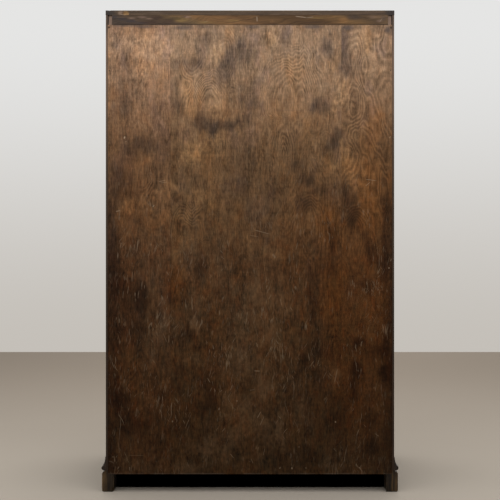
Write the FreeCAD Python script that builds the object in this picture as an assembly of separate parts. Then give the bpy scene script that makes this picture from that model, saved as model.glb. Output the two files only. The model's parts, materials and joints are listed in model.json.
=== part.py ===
import FreeCAD, Part
import math
import os

from FreeCAD import Vector

os.makedirs("parts", exist_ok=True)

# A two-door wardrobe of framed and panelled wood, standing on the floor at z 0.
# It faces -Y. Left and right are as seen from its front. Lengths are in millimetres.

# Whole carcase
overall_height = 1784.0
carcase_width = 1067.0
carcase_depth = 510.0
foot_height = 82.0

# Fits
glue_gap = 0.1
end_gap = 0.8
running_gap = 0.06
free_gap = 0.4
overrun = 2.0

# Top board
top_board_thickness = 18.0
top_board_side_overhang = 1.0
top_board_front_overhang = 12.0
nosing_radius = 9.0

# Side frames
stile_thickness = 23.0
stile_depth = 60.0
side_top_rail_height = 70.0
side_bottom_rail_height = 109.0
side_panel_thickness = 6.0
side_panel_recess = 6.0
side_groove_depth = 9.0
side_tenon_length = 14.0

# Rails across the carcase
front_rail_thickness = 23.0
front_top_rail_height = 64.0
front_bottom_rail_height = 68.0
rear_rail_web = 16.0
rear_top_rail_height = 60.0
rear_rail_lip_height = 35.0
tenon_length = 12.0
tenon_thickness = 8.0
tenon_shoulder = 12.0
tenon_margin = 3.0

# Back panel and the pins that hold it
back_panel_thickness = 5.0
back_panel_setback = 1.0
back_panel_drop = 14.5
back_panel_edge_gap = 0.5
back_rebate_width = 16.0
pin_head_radius = 1.7
pin_head_depth = 0.9
pin_shank_radius = 0.8
pin_length = 18.0
pin_side_distance = 5.0
pin_top_distance = 9.0
side_pin_spaces = 10
cross_pin_spaces = 6

# Floor board and door stop
floor_board_thickness = 15.0
floor_board_lap = 12.0
floor_housing_depth = 6.0
door_stop_thickness = 20.0
door_stop_height = 32.0
door_stop_lap = 14.0

# Hat shelf, bearers and hanging rail
hat_space_height = 246.0
shelf_thickness = 15.0
shelf_setback = 50.0
bearer_thickness = 20.0
bearer_height = 70.0
bearer_setback = 32.0
hanging_rail_radius = 11.0
hanging_rail_wall = 1.2
hanging_rail_drop = 43.0
socket_plate_radius = 24.0
socket_plate_thickness = 3.0
socket_wall = 2.8
socket_depth = 12.0
socket_screw_radius = 19.0

# Base moulding, a bead with a cove above it
moulding_height = 49.0
moulding_reach = 16.0
bead_height = 17.0
cove_foot_reach = 9.0
cove_top_edge = 2.0
cove_ledge = 2.0
cove_sagitta = 1.7

# Feet and their dowels
foot_reach = 15.0
foot_neck_height = 6.0
foot_shoulder_radius = 10.0
foot_toe_radius = 7.0
rear_foot_inner = 28.0
rear_foot_length = 62.0
front_foot_inner = 46.0
foot_flare_radius = 33.0
foot_flare_edge = 8.0
dowel_radius = 5.0
dowel_in_foot = 25.0
dowel_in_stile = 30.0
dowel_setback = 30.0

# Doors
door_thickness = 22.0
door_gap = 2.0
door_stile_width = 62.0
door_top_rail_height = 62.0
lock_rail_height = 80.0
door_bottom_rail_height = 95.0
lower_opening_height = 513.0
door_tenon_length = 30.0
door_tenon_thickness = 7.0
door_groove_width = 6.0
door_groove_depth = 9.0
panel_side_gap = 0.2
panel_bevel_gap = 0.5
panel_field_recess = 3.0
panel_bevel_width = 35.0
panel_step = 1.5

# Butt hinges
hinge_height = 50.0
hinge_edge_distance = 120.0
hinge_knuckles = 5
barrel_radius = 3.8
barrel_standoff = 4.2
barrel_clearance = 0.2
hinge_pin_radius = 1.75
hinge_pin_head_radius = 2.8
hinge_pin_head_height = 1.2
leaf_thickness = 1.6
leaf_width = 20.0
leaf_gap = 0.4
knuckle_side_gap = 0.1
leaf_screw_spacing = 17.0

# Countersunk screws
screw_head_radius = 2.6
screw_head_depth = 1.3
screw_shank_radius = 1.3
screw_length = 14.0
screw_slot_width = 0.6
screw_slot_depth = 0.5
screw_hole_gap = 0.05

# Drop handles
handle_height = 1045.0
handle_plate_thickness = 2.0
handle_plate_width = 16.0
handle_plate_length = 66.0
handle_rose_radius = 14.0
handle_pivot_standoff = 8.0
handle_ear_radius = 2.6
handle_ear_thickness = 2.0
handle_pin_radius = 1.2
handle_bolt_radius = 2.5
handle_bolt_end = 1.5
handle_nut_width = 10.0
handle_nut_thickness = 3.0
drop_eye_radius = 3.2
drop_eye_width = 5.0
drop_length = 44.0
drop_radius = 6.6
drop_neck_shares = ((0.28, 0.05), (0.28, 0.12), (0.52, 0.145), (0.52, 0.18), (0.3, 0.21))
drop_swell_shares = ((0.68, 0.42), (1.0, 0.68))
drop_tip_shares = ((0.86, 0.86), (0.3, 0.93), (0.26, 0.98))

# Rim lock inside the right door
lock_height = 930.0
lock_edge_setback = 2.0
lock_case_length = 44.0
lock_case_depth = 12.0
lock_wall = 1.5
lock_case_below = 13.0
lock_case_above = 27.0
lock_flange = 9.0
lock_backset = 26.0
lock_bolt_height = 12.0
lock_bolt_thickness = 4.5
lock_bolt_length = 34.0
lock_bolt_lift = 0.5
lock_screw_inset = 5.0

# Key and escutcheon
key_front_reach = 30.0
key_shank_radius = 2.5
key_pilot_radius = 1.5
key_pilot_end = 1.0
key_bow_radius = 9.0
key_bow_bore = 5.5
key_bow_thickness = 3.0
key_collar_radius = 3.9
key_collar_length = 2.0
key_bit_reach = 9.0
key_bit_thickness = 2.2
key_bit_width = 6.0
key_ward_width = 1.4
key_ward_depth = 3.0
escutcheon_thickness = 1.5
escutcheon_width = 18.0
escutcheon_length = 36.0

# Slide bolts inside the left door
slide_bolt_radius = 4.0
slide_bolt_length = 110.0
slide_bolt_throw = 14.0
slide_bolt_rest_gap = 2.0
slide_plate_width = 27.0
slide_plate_length = 80.0
slide_plate_thickness = 1.6
slide_plate_tip_gap = 12.0
slide_guide_width = 13.0
slide_guide_height = 8.0
slide_guide_wall = 2.0
slide_knob_radius = 3.5
slide_knob_length = 9.0
slide_screw_offset = 9.8
slide_screw_spacing = 40.0

# Planes of the carcase
x_side = carcase_width / 2
x_in = x_side - stile_thickness
y_back = (carcase_depth + key_front_reach) / 2
y_front = y_back - carcase_depth
y_behind_rail = y_front + front_rail_thickness
y_rebate = y_back - back_panel_thickness - back_panel_setback
y_rear_rail = y_rebate - rear_rail_web
z_base = foot_height
z_top = overall_height - top_board_thickness
z_sill = z_base + front_bottom_rail_height
z_floor = z_sill + floor_board_lap
z_floor_under = z_floor - floor_board_thickness
z_lintel = z_top - front_top_rail_height
z_stop = z_lintel - door_stop_lap
z_shelf = z_top - hat_space_height
z_shelf_under = z_shelf - shelf_thickness
x_bearer = x_in - bearer_thickness

# Side frame: the space between its stiles and rails, and the groove round it
y_side = (y_front + stile_depth, y_back - stile_depth)
z_side = (z_base + side_bottom_rail_height, z_top - side_top_rail_height)
x_groove = (x_side - side_panel_recess - side_panel_thickness, x_side - side_panel_recess)

# Planes of the closed right door
x_meet = door_gap / 2
x_hinge_edge = x_in - door_gap
x_opening = (x_meet + door_stile_width, x_hinge_edge - door_stile_width)
y_inner = y_front + door_thickness
y_groove = y_front + (door_thickness - door_groove_width) / 2
z_door = z_sill + door_gap
z_door_top = z_lintel - door_gap
z_lower = (z_door + door_bottom_rail_height, z_door + door_bottom_rail_height + lower_opening_height)
z_upper = (z_lower[1] + lock_rail_height, z_door_top - door_top_rail_height)
stile_middle = x_meet + door_stile_width / 2

# Axes of hinges, handles, key and slide bolts
hinge_x = x_in - door_gap / 2
hinge_y = y_front - barrel_standoff
hinge_centres = (
    z_door + hinge_edge_distance,
    (z_door + z_door_top) / 2,
    z_door_top - hinge_edge_distance,
)
pivot_y = y_front - handle_plate_thickness - handle_pivot_standoff
key_x = x_meet + lock_backset
slide_y = y_inner + slide_plate_thickness + slide_bolt_radius + free_gap
rail_y = (y_inner + y_rebate) / 2
rail_z = z_shelf_under - hanging_rail_drop


def block(x0, x1, y0, y1, z0, z1):
    """A squared piece between two corners, given in any order."""
    low = Vector(min(x0, x1), min(y0, y1), min(z0, z1))
    return Part.makeBox(abs(x1 - x0), abs(y1 - y0), abs(z1 - z0), low)


def around(span, gap):
    """The room that a squared piece needs, with a gap on every side."""
    x0, x1, y0, y1, z0, z1 = span
    return block(x0 - gap, x1 + gap, y0 - gap, y1 + gap, z0 - gap, z1 + gap)


def rod(radius, start, length, direction):
    """A round bar from a point along a direction."""
    return Part.makeCylinder(radius, length, start, direction)


def mirrored(shape):
    """The same piece on the other side of the wardrobe."""
    return shape.mirror(Vector(0, 0, 0), Vector(1, 0, 0))


def both_sides(shape):
    """A piece and its mirror image."""
    return [shape, mirrored(shape)]


def node(name, *shapes):
    """Write the solids of one node to its STEP file."""
    solids = [solid for shape in shapes for solid in shape.Solids]
    whole = solids[0] if len(solids) == 1 else Part.makeCompound(solids)
    whole.exportStep("parts/" + name + ".step")


def arc(centre, radius, start, end):
    """The middle and end of an arc in an outline, by its angles in degrees."""
    def at(angle):
        turn = math.radians(angle)
        return (centre[0] + radius * math.cos(turn), centre[1] + radius * math.sin(turn))
    return (at((start + end) / 2), at(end))


def outline(plane, start, steps):
    """A closed face: each step is the next corner, or the middle and end of an arc."""
    edges = []
    here = start
    for step in steps:
        if isinstance(step[0], tuple):
            middle, end = step
            curve = Part.Arc(plane(*here), plane(*middle), plane(*end))
        else:
            end = step
            curve = Part.LineSegment(plane(*here), plane(*end))
        edges.append(curve.toShape())
        here = end
    edges.append(Part.LineSegment(plane(*here), plane(*start)).toShape())
    return Part.Face(Part.Wire(edges))


def stadium(width, length, x, z, y0, y1):
    """An upright plate with two round ends, between two Y planes."""
    half = width / 2
    reach = length / 2 - half
    body = block(x - half, x + half, y0, y1, z - reach, z + reach)
    ends = [rod(half, Vector(x, y0, z + side * reach), y1 - y0, Vector(0, 1, 0)) for side in (-1, 1)]
    return body.fuse(ends).removeSplitter()


def placed(shape, point, away):
    """A fastener modelled under z 0, moved to a point with its head facing a direction."""
    moved = shape.copy()
    moved.Placement = FreeCAD.Placement(point, FreeCAD.Rotation(Vector(0, 0, 1), away))
    return moved


def countersunk(gap):
    """The cone and shank of a screw, or of its hole where there is a gap."""
    foot = Vector(0, 0, -screw_head_depth)
    head = Part.makeCone(screw_shank_radius + gap, screw_head_radius + gap, screw_head_depth, foot)
    end = Vector(0, 0, -screw_length - gap)
    shank = rod(screw_shank_radius + gap, end, screw_length + gap - screw_head_depth, Vector(0, 0, 1))
    return head.fuse(shank)


def screw(point, away):
    """A slotted countersunk screw with the face of its head at the point."""
    reach = screw_head_radius + overrun
    half = screw_slot_width / 2
    slot = block(-reach, reach, -half, half, -screw_slot_depth, overrun)
    return placed(countersunk(0).cut(slot), point, away)


def screw_hole(point, away):
    """The countersunk hole of a screw, open above its head."""
    mouth = rod(screw_head_radius + screw_hole_gap, Vector(0, 0, 0), overrun, Vector(0, 0, 1))
    return placed(countersunk(screw_hole_gap).fuse(mouth), point, away)


# Top board

def top_board():
    """A board with a quarter round under its front edge, flush with the back."""
    y_edge = y_front - top_board_front_overhang
    x_end = x_side + top_board_side_overhang
    centre = (y_edge + nosing_radius, z_top + nosing_radius)
    steps = [
        (y_back, overall_height),
        (y_edge, overall_height),
        (y_edge, z_top + nosing_radius),
        arc(centre, nosing_radius, 180, 270),
    ]
    face = outline(lambda u, v: Vector(-x_end, u, v), (y_back, z_top), steps)
    return face.extrude(Vector(x_end + x_end, 0, 0))


# Rails across the carcase

cross_rails = {
    "front_top_rail": (y_front, y_behind_rail, z_lintel, z_top),
    "front_bottom_rail": (y_front, y_behind_rail, z_base, z_sill),
    "rear_top_rail": (y_rear_rail, y_rebate, z_top - rear_top_rail_height, z_top),
    "rear_bottom_rail": (y_rear_rail, y_rebate, z_base, z_floor_under),
}


def cross_tenon(name):
    """The span of the tenons at both ends of a cross rail, as one bar."""
    y0, y1, z0, z1 = cross_rails[name]
    middle = (y0 + y1) / 2
    reach = x_in + tenon_length
    half = tenon_thickness / 2
    return (-reach, reach, middle - half, middle + half, z0 + tenon_shoulder, z1 - tenon_shoulder)


def cross_rail(name):
    """A rail between the two side frames, with its stub tenons."""
    body = block(-x_in, x_in, *cross_rails[name])
    return body.fuse(block(*cross_tenon(name))).removeSplitter()


def rear_top_rail():
    """The rail seen above the back panel, with a lip flush with the stiles."""
    lip = block(-x_in, x_in, y_rebate, y_back, z_top - rear_rail_lip_height, z_top)
    return cross_rail("rear_top_rail").fuse(lip).removeSplitter().cut(pin_holes())


# Side frames, modelled on the right

side_rails = {
    "bottom": (z_base, z_side[0]),
    "top": (z_side[1], z_top),
}


def side_tenon(name):
    """The span of the tenons at both ends of a side rail, as one bar."""
    z0, z1 = side_rails[name]
    shoulder = side_groove_depth + tenon_margin
    y0 = y_side[0] - side_tenon_length
    y1 = y_side[1] + side_tenon_length
    return (*x_groove, y0, y1, z0 + shoulder, z1 - shoulder)


def side_pocket(shorter):
    """The span that a side panel fills in its grooves, less a gap at its edges."""
    depth = side_groove_depth - shorter
    ys = (y_side[0] - depth, y_side[1] + depth)
    zs = (z_side[0] - depth, z_side[1] + depth)
    return (*x_groove, *ys, *zs)


def floor_span(x_end):
    """The span of the floor board, to one end at the right."""
    return (-x_end, x_end, y_behind_rail, y_rebate, z_floor_under, z_floor)


def joinery_room():
    """What the grooves, mortises and housings take out of a side frame."""
    room = [around(side_pocket(0), glue_gap)]
    room += [around(side_tenon(name), glue_gap) for name in side_rails]
    room += [around(cross_tenon(name), glue_gap) for name in cross_rails]
    room.append(around(floor_span(x_in + floor_housing_depth), glue_gap))
    return room


def side_rail(name):
    """A rail of the side frame, grooved for the panel."""
    body = block(x_in, x_side, *y_side, *side_rails[name])
    body = body.fuse(block(*side_tenon(name))).removeSplitter()
    pocket = around(side_pocket(0), glue_gap)
    housing = around(floor_span(x_in + floor_housing_depth), glue_gap)
    return body.cut([pocket, housing])


def front_stile():
    """The front stile of the side frame, which carries the hinges."""
    body = block(x_in, x_side, y_front, y_side[0], z_base, z_top)
    room = joinery_room() + [dowel(y_front + dowel_setback, glue_gap)]
    for z in hinge_centres:
        room.append(around(leaf_span(1, z), glue_gap))
        room += [screw_hole(*seat) for seat in leaf_screws(1, z)]
    return body.cut(room)


def rear_stile():
    """The rear stile, with a rebate for the back panel."""
    body = block(x_in, x_side, y_side[1], y_back, z_base, z_top)
    wall = x_in + back_rebate_width
    rebate = block(x_in - overrun, wall, y_rebate, y_back + overrun, z_base - overrun, z_top + overrun)
    room = joinery_room() + [rebate, dowel(y_rebate - dowel_setback, glue_gap), pin_holes()]
    return body.cut(room)


def side_panel():
    """The plywood panel in the side frame's grooves."""
    return block(*side_pocket(end_gap))


# Back panel and its pins

back_panel_x = x_in + back_rebate_width - back_panel_edge_gap
back_panel_top = z_top - rear_rail_lip_height - back_panel_edge_gap
back_panel_face = y_rebate + back_panel_thickness


def pin_places():
    """The points of the pins round the back panel, in its outer face."""
    x_pin = back_panel_x - pin_side_distance
    z_high = back_panel_top - pin_top_distance
    z_low = (z_base + z_floor_under) / 2
    places = []
    for step in range(side_pin_spaces + 1):
        z = z_low + (z_high - z_low) * step / side_pin_spaces
        places += [(-x_pin, z), (x_pin, z)]
    for step in range(1, cross_pin_spaces):
        x = x_pin * (2 * step / cross_pin_spaces - 1)
        places += [(x, z_low), (x, z_high)]
    return places


def pin(x, z, gap):
    """A panel pin, or its hole where there is a gap."""
    outward = Vector(0, 1, 0)
    head_start = Vector(x, back_panel_face - pin_head_depth, z)
    shank_start = Vector(x, back_panel_face - pin_length, z)
    head = rod(pin_head_radius + gap, head_start, pin_head_depth, outward)
    shank = rod(pin_shank_radius + gap, shank_start, pin_length - pin_head_depth, outward)
    return head.fuse(shank)


def pin_holes():
    """The holes of all the pins."""
    return Part.makeCompound([pin(x, z, screw_hole_gap) for x, z in pin_places()])


def back_panel():
    """The plywood back, let into the stiles and rail and hanging a little below them."""
    sheet = block(
        -back_panel_x, back_panel_x, y_rebate, back_panel_face, z_base - back_panel_drop, back_panel_top
    )
    return sheet.cut(pin_holes())


# Inside of the carcase

def floor_board():
    """The floor board, housed in the sides, with a hole for the lower slide bolt."""
    board = block(*floor_span(x_in + floor_housing_depth))
    return board.cut(slide_hole(z_floor_under - overrun, z_floor + overrun))


def door_stop_strip():
    """The strip behind the top rail that the doors close against."""
    strip = block(
        -x_in, x_in, y_behind_rail, y_behind_rail + door_stop_thickness, z_stop, z_stop + door_stop_height
    )
    reach = slide_bolt_throw - slide_bolt_rest_gap + end_gap
    return strip.cut(slide_hole(z_stop - overrun, z_stop + reach))


def hat_shelf():
    """The shelf over the hanging space, resting on the bearers."""
    x_end = x_in - free_gap
    return block(-x_end, x_end, y_front + shelf_setback, y_rebate, z_shelf_under, z_shelf)


def shelf_bearer():
    """A bearer across the right side frame."""
    ys = (y_front + bearer_setback, y_rebate - end_gap)
    bearer = block(x_bearer, x_in, *ys, z_shelf_under - bearer_height, z_shelf_under)
    return bearer.cut([screw_hole(*seat) for seat in socket_screws()])


def rail_socket():
    """A flanged cup for the end of the hanging rail."""
    mouth = Vector(x_bearer - socket_plate_thickness - socket_depth, rail_y, rail_z)
    plate_start = Vector(x_bearer - socket_plate_thickness, rail_y, rail_z)
    inward = Vector(1, 0, 0)
    plate = rod(socket_plate_radius, plate_start, socket_plate_thickness, inward)
    cup = rod(hanging_rail_radius + glue_gap + socket_wall, mouth, socket_depth, inward)
    bore = rod(hanging_rail_radius + glue_gap, mouth, socket_depth, inward)
    holes = [screw_hole(*seat) for seat in socket_screws()]
    return plate.fuse(cup).cut([bore] + holes)


def socket_screws():
    """The seats of the two screws in a rail socket."""
    x = x_bearer - socket_plate_thickness
    return [(Vector(x, rail_y, rail_z + side * socket_screw_radius), Vector(-1, 0, 0)) for side in (-1, 1)]


def hanging_rail():
    """A tube from socket to socket."""
    x_end = x_bearer - socket_plate_thickness - end_gap
    start = Vector(-x_end, rail_y, rail_z)
    inward = Vector(1, 0, 0)
    tube = rod(hanging_rail_radius, start, x_end + x_end, inward)
    return tube.cut(rod(hanging_rail_radius - hanging_rail_wall, start, x_end + x_end, inward))


# Base moulding

def moulding_outline(plane):
    """The moulding's section, by its reach from the carcase and its height."""
    bead = bead_height / 2
    bead_centre = (moulding_reach - bead, bead)
    cove_foot = (cove_foot_reach, bead_height + cove_ledge)
    cove_top = (cove_top_edge, moulding_height)
    rise = cove_top[1] - cove_foot[1]
    lean = cove_foot[0] - cove_top[0]
    slope = math.hypot(rise, lean)
    cove_middle = (
        (cove_foot[0] + cove_top[0]) / 2 - cove_sagitta * rise / slope,
        (cove_foot[1] + cove_top[1]) / 2 - cove_sagitta * lean / slope,
    )
    steps = [
        (bead_centre[0], 0),
        arc(bead_centre, bead, -90, 90),
        (cove_foot_reach, bead_height),
        cove_foot,
        (cove_middle, cove_top),
        (0, moulding_height),
    ]
    return outline(plane, (0, 0), steps)


def upright_prism(corners):
    """A prism on a plan of corners, as high as the moulding and a little more."""
    low = z_base - overrun
    face = Part.Face(Part.makePolygon([Vector(x, y, low) for x, y in corners + corners[:1]]))
    return face.extrude(Vector(0, 0, moulding_height + overrun + overrun))


def front_moulding():
    """The moulding across the front, mitred at both ends."""
    reach = moulding_reach + overrun
    x_end = x_side + reach
    run = moulding_outline(lambda u, v: Vector(-x_end, y_front - u, z_base + v))
    plan = [(-x_side, y_front), (x_side, y_front), (x_end, y_front - reach), (-x_end, y_front - reach)]
    return run.extrude(Vector(x_end + x_end, 0, 0)).common(upright_prism(plan))


def side_moulding():
    """The moulding along the right side, mitred at the front and square at the back."""
    reach = moulding_reach + overrun
    y_end = y_front - reach
    run = moulding_outline(lambda u, v: Vector(x_side + u, y_end, z_base + v))
    plan = [(x_side, y_front), (x_side + reach, y_end), (x_side + reach, y_back), (x_side, y_back)]
    return run.extrude(Vector(0, y_back - y_end, 0)).common(upright_prism(plan))


# Feet

def foot_outline(plane, inner, flare):
    """A foot's section, by its reach from the carcase and its height."""
    shoulder = foot_height - foot_neck_height - foot_shoulder_radius
    neck = foot_reach - foot_shoulder_radius
    steps = [
        (foot_reach - foot_toe_radius, 0),
        arc((foot_reach - foot_toe_radius, foot_toe_radius), foot_toe_radius, -90, 0),
        (foot_reach, shoulder),
        arc((neck, shoulder), foot_shoulder_radius, 0, 90),
        (neck, foot_height),
        (-inner - flare, foot_height),
    ]
    if flare:
        low = foot_height - foot_flare_edge - flare
        steps += [
            (-inner - flare, foot_height - foot_flare_edge),
            arc((-inner - flare, low), flare, 90, 0),
        ]
    return outline(plane, (-inner, 0), steps)


def front_foot():
    """The right front foot, shaped alike to the front and to the side."""
    depth = front_foot_inner + foot_flare_radius + foot_reach + overrun + overrun
    start_y = y_front - foot_reach - overrun
    start_x = x_side + foot_reach + overrun
    across = foot_outline(lambda u, v: Vector(x_side + u, start_y, v), front_foot_inner, foot_flare_radius)
    along = foot_outline(lambda u, v: Vector(start_x, y_front - u, v), front_foot_inner, foot_flare_radius)
    shape = across.extrude(Vector(0, depth, 0)).common(along.extrude(Vector(-depth, 0, 0)))
    return shape.cut(dowel(y_front + dowel_setback, glue_gap))


def rear_foot():
    """The right rear foot: straight behind and inside, flared to the front."""
    flare = foot_flare_radius
    low = foot_height - foot_flare_edge - flare
    reach = rear_foot_length + flare
    steps = [
        (rear_foot_length, 0),
        (rear_foot_length, low),
        arc((reach, low), flare, 180, 90),
        (reach, foot_height),
        (0, foot_height),
    ]
    start_x = x_side + foot_reach + overrun
    width = foot_reach + rear_foot_inner + overrun + overrun
    across = foot_outline(lambda u, v: Vector(x_side + u, y_rebate, v), rear_foot_inner, 0)
    along = outline(lambda u, v: Vector(start_x, y_rebate - u, v), (0, 0), steps)
    shape = across.extrude(Vector(0, -reach, 0)).common(along.extrude(Vector(-width, 0, 0)))
    return shape.cut(dowel(y_rebate - dowel_setback, glue_gap))


def dowel(y, gap):
    """A dowel from a foot into its stile, or the hole for it where there is a gap."""
    start = Vector(x_in + stile_thickness / 2, y, z_base - dowel_in_foot - gap)
    return rod(dowel_radius + gap, start, dowel_in_foot + dowel_in_stile + gap + gap, Vector(0, 0, 1))


# Hinges

def leaf_span(side, z):
    """The span of one hinge leaf: side 1 on the carcase, side -1 on the door."""
    face = hinge_x + side * leaf_gap / 2
    y0 = hinge_y + barrel_radius + barrel_clearance
    xs = (min(face, face + side * leaf_thickness), max(face, face + side * leaf_thickness))
    return (*xs, y0, y0 + leaf_width, z - hinge_height / 2, z + hinge_height / 2)


def leaf_screws(side, z):
    """The seats of the three screws in a leaf."""
    x = hinge_x + side * leaf_gap / 2
    y = hinge_y + barrel_radius + barrel_clearance + leaf_width / 2
    away = Vector(-side, 0, 0)
    return [(Vector(x, y, z + step * leaf_screw_spacing), away) for step in (-1, 0, 1)]


def hinge_leaf(side, z):
    """A leaf with its knuckles: three on the carcase, two on the door."""
    x0, x1, y0, y1, z0, z1 = leaf_span(side, z)
    up = Vector(0, 0, 1)
    pitch = hinge_height / hinge_knuckles
    wrap = hinge_y + (barrel_radius + hinge_pin_radius) / 2
    pieces = []
    for knuckle in range(0 if side > 0 else 1, hinge_knuckles, 2):
        low = z0 + knuckle * pitch + knuckle_side_gap
        length = pitch - knuckle_side_gap - knuckle_side_gap
        pieces.append(rod(barrel_radius, Vector(hinge_x, hinge_y, low), length, up))
        pieces.append(block(x0, x1, wrap, y1, low, low + length))
    leaf = block(x0, x1, y0, y1, z0, z1).fuse(pieces).removeSplitter()
    bore = rod(hinge_pin_radius + running_gap, Vector(hinge_x, hinge_y, z0 - overrun),
               hinge_height + overrun + overrun, up)
    return leaf.cut([bore] + [screw_hole(*seat) for seat in leaf_screws(side, z)])


def hinge_pin(z):
    """A hinge pin with a button head at each end."""
    up = Vector(0, 0, 1)
    half = hinge_height / 2
    shank = rod(hinge_pin_radius, Vector(hinge_x, hinge_y, z - half), hinge_height, up)
    low = Vector(hinge_x, hinge_y, z - half - hinge_pin_head_height)
    heads = [
        rod(hinge_pin_head_radius, low, hinge_pin_head_height, up),
        rod(hinge_pin_head_radius, Vector(hinge_x, hinge_y, z + half), hinge_pin_head_height, up),
    ]
    return shank.fuse(heads)


# Doors, modelled on the right

door_rails = {
    "bottom_rail": (z_door, z_lower[0]),
    "lock_rail": (z_lower[1], z_upper[0]),
    "top_rail": (z_upper[1], z_door_top),
}


def door_tenon(name):
    """The span of the tenons at both ends of a door rail, as one bar."""
    z0, z1 = door_rails[name]
    shoulder = door_groove_depth + tenon_margin
    middle = (y_front + y_inner) / 2
    half = door_tenon_thickness / 2
    xs = (x_opening[0] - door_tenon_length, x_opening[1] + door_tenon_length)
    return (*xs, middle - half, middle + half, z0 + shoulder, z1 - shoulder)


def door_grooves():
    """The grooves round both panels of a door."""
    depth = door_groove_depth
    xs = (x_opening[0] - depth, x_opening[1] + depth)
    ys = (y_groove, y_groove + door_groove_width)
    return [block(*xs, *ys, z0 - depth, z1 + depth) for z0, z1 in (z_lower, z_upper)]


def door_rail(name):
    """A rail of the door, grooved for the panels."""
    body = block(*x_opening, y_front, y_inner, *door_rails[name])
    return body.fuse(block(*door_tenon(name))).removeSplitter().cut(door_grooves())


def door_stile(x0, x1):
    """A stile of the door, mortised for the rails and grooved for the panels."""
    body = block(x0, x1, y_front, y_inner, z_door, z_door_top)
    mortises = [around(door_tenon(name), glue_gap) for name in door_rails]
    return body.cut(mortises + door_grooves())


def hinge_stile():
    """The stile at the hinges, recessed for their leaves."""
    stile = door_stile(x_opening[1], x_hinge_edge)
    room = []
    for z in hinge_centres:
        room.append(around(leaf_span(-1, z), glue_gap))
        room += [screw_hole(*seat) for seat in leaf_screws(-1, z)]
    return stile.cut(room)


def meeting_stile():
    """The stile at the middle of the wardrobe, bored for the handle's bolt."""
    start = Vector(stile_middle, y_front - overrun, handle_height)
    hole = rod(handle_bolt_radius + glue_gap, start, door_thickness + overrun + overrun, Vector(0, 1, 0))
    return door_stile(x_meet, x_opening[0]).cut(hole)


def door_panel(z0, z1):
    """A fielded panel: a tongue in the grooves, a bevel all round and a raised field."""
    x0, x1 = x_opening
    tongue_y = (y_groove + panel_side_gap, y_groove + door_groove_width - panel_side_gap)
    reach = door_groove_depth - end_gap
    tongue = block(x0 - reach, x1 + reach, *tongue_y, z0 - reach, z1 + reach)
    field_y = y_front + panel_field_recess
    step_y = field_y + panel_step
    inset = panel_bevel_width
    field = block(x0 + inset, x1 - inset, field_y, step_y, z0 + inset, z1 - inset)
    edge = panel_bevel_gap
    bevel = Part.makeWedge(
        x0 + inset, step_y, z0 + inset, z0 + edge, x0 + edge,
        x1 - inset, tongue_y[0], z1 - inset, z1 - edge, x1 - edge,
    )
    return tongue.fuse([bevel, field]).removeSplitter()


# Drop handles, modelled on the right door

def handle_ear(side):
    """One of the two ears that hold the drop's pin."""
    near = drop_eye_width / 2 + free_gap
    x0 = stile_middle + side * near
    x1 = x0 + side * handle_ear_thickness
    root = y_front - handle_plate_thickness
    arm = block(x0, x1, pivot_y, root, handle_height - handle_ear_radius, handle_height + handle_ear_radius)
    start = Vector(min(x0, x1), pivot_y, handle_height)
    return arm.fuse(rod(handle_ear_radius, start, handle_ear_thickness, Vector(1, 0, 0)))


def handle_plate():
    """The plate with its rose and ears, and the bolt that passes through the stile."""
    face = y_front - handle_plate_thickness
    inward = Vector(0, 1, 0)
    plate = stadium(handle_plate_width, handle_plate_length, stile_middle, handle_height, face, y_front)
    rose_middle = Vector(stile_middle, face, handle_height)
    rose = rod(handle_rose_radius, rose_middle, handle_plate_thickness, inward)
    length = door_thickness + handle_nut_thickness + handle_bolt_end
    bolt = rod(handle_bolt_radius, Vector(stile_middle, y_front, handle_height), length, inward)
    whole = plate.fuse([rose, bolt, handle_ear(-1), handle_ear(1)]).removeSplitter()
    return whole.cut(handle_pin(screw_hole_gap))


def handle_pin(gap):
    """The pin across the ears, or its hole where there is a gap."""
    reach = drop_eye_width / 2 + free_gap + handle_ear_thickness
    start = Vector(stile_middle - reach, pivot_y, handle_height)
    return rod(handle_pin_radius + gap, start, reach + reach, Vector(1, 0, 0))


def handle_nut():
    """The square nut on the handle's bolt, inside the door."""
    half = handle_nut_width / 2
    xs = (stile_middle - half, stile_middle + half)
    nut = block(*xs, y_inner, y_inner + handle_nut_thickness, handle_height - half, handle_height + half)
    start = Vector(stile_middle, y_inner, handle_height)
    return nut.cut(rod(handle_bolt_radius + glue_gap, start, handle_nut_thickness, Vector(0, 1, 0)))


def handle_drop():
    """The pear-shaped drop with its eye round the pin."""
    def at(share):
        return (drop_radius * share[0], -drop_length * share[1])
    neck = [at(share) for share in drop_neck_shares]
    swell = [at(share) for share in drop_swell_shares]
    tip = [at(share) for share in drop_tip_shares]
    start = (0, neck[0][1])
    steps = neck + [(swell[0], swell[1]), (tip[0], tip[1]), tip[2], (0, -drop_length)]
    face = outline(lambda u, v: Vector(stile_middle + u, pivot_y, handle_height + v), start, steps)
    body = face.revolve(Vector(stile_middle, pivot_y, 0), Vector(0, 0, 1), 360)
    start_x = stile_middle - drop_eye_width / 2
    across = Vector(1, 0, 0)
    eye = rod(drop_eye_radius, Vector(start_x, pivot_y, handle_height), drop_eye_width, across)
    bore = rod(handle_pin_radius + running_gap, Vector(start_x - overrun, pivot_y, handle_height),
               drop_eye_width + overrun + overrun, across)
    return eye.fuse(body).cut(bore)


# Rim lock and key of the right door

lock_x = (x_meet + lock_edge_setback, x_meet + lock_edge_setback + lock_case_length)
lock_z = (lock_height - lock_case_below, lock_height + lock_case_above)
bolt_y = y_inner + lock_wall + free_gap
bolt_z = lock_height + key_bit_reach + lock_bolt_lift
bit_y = y_inner + lock_wall + free_gap


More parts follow.
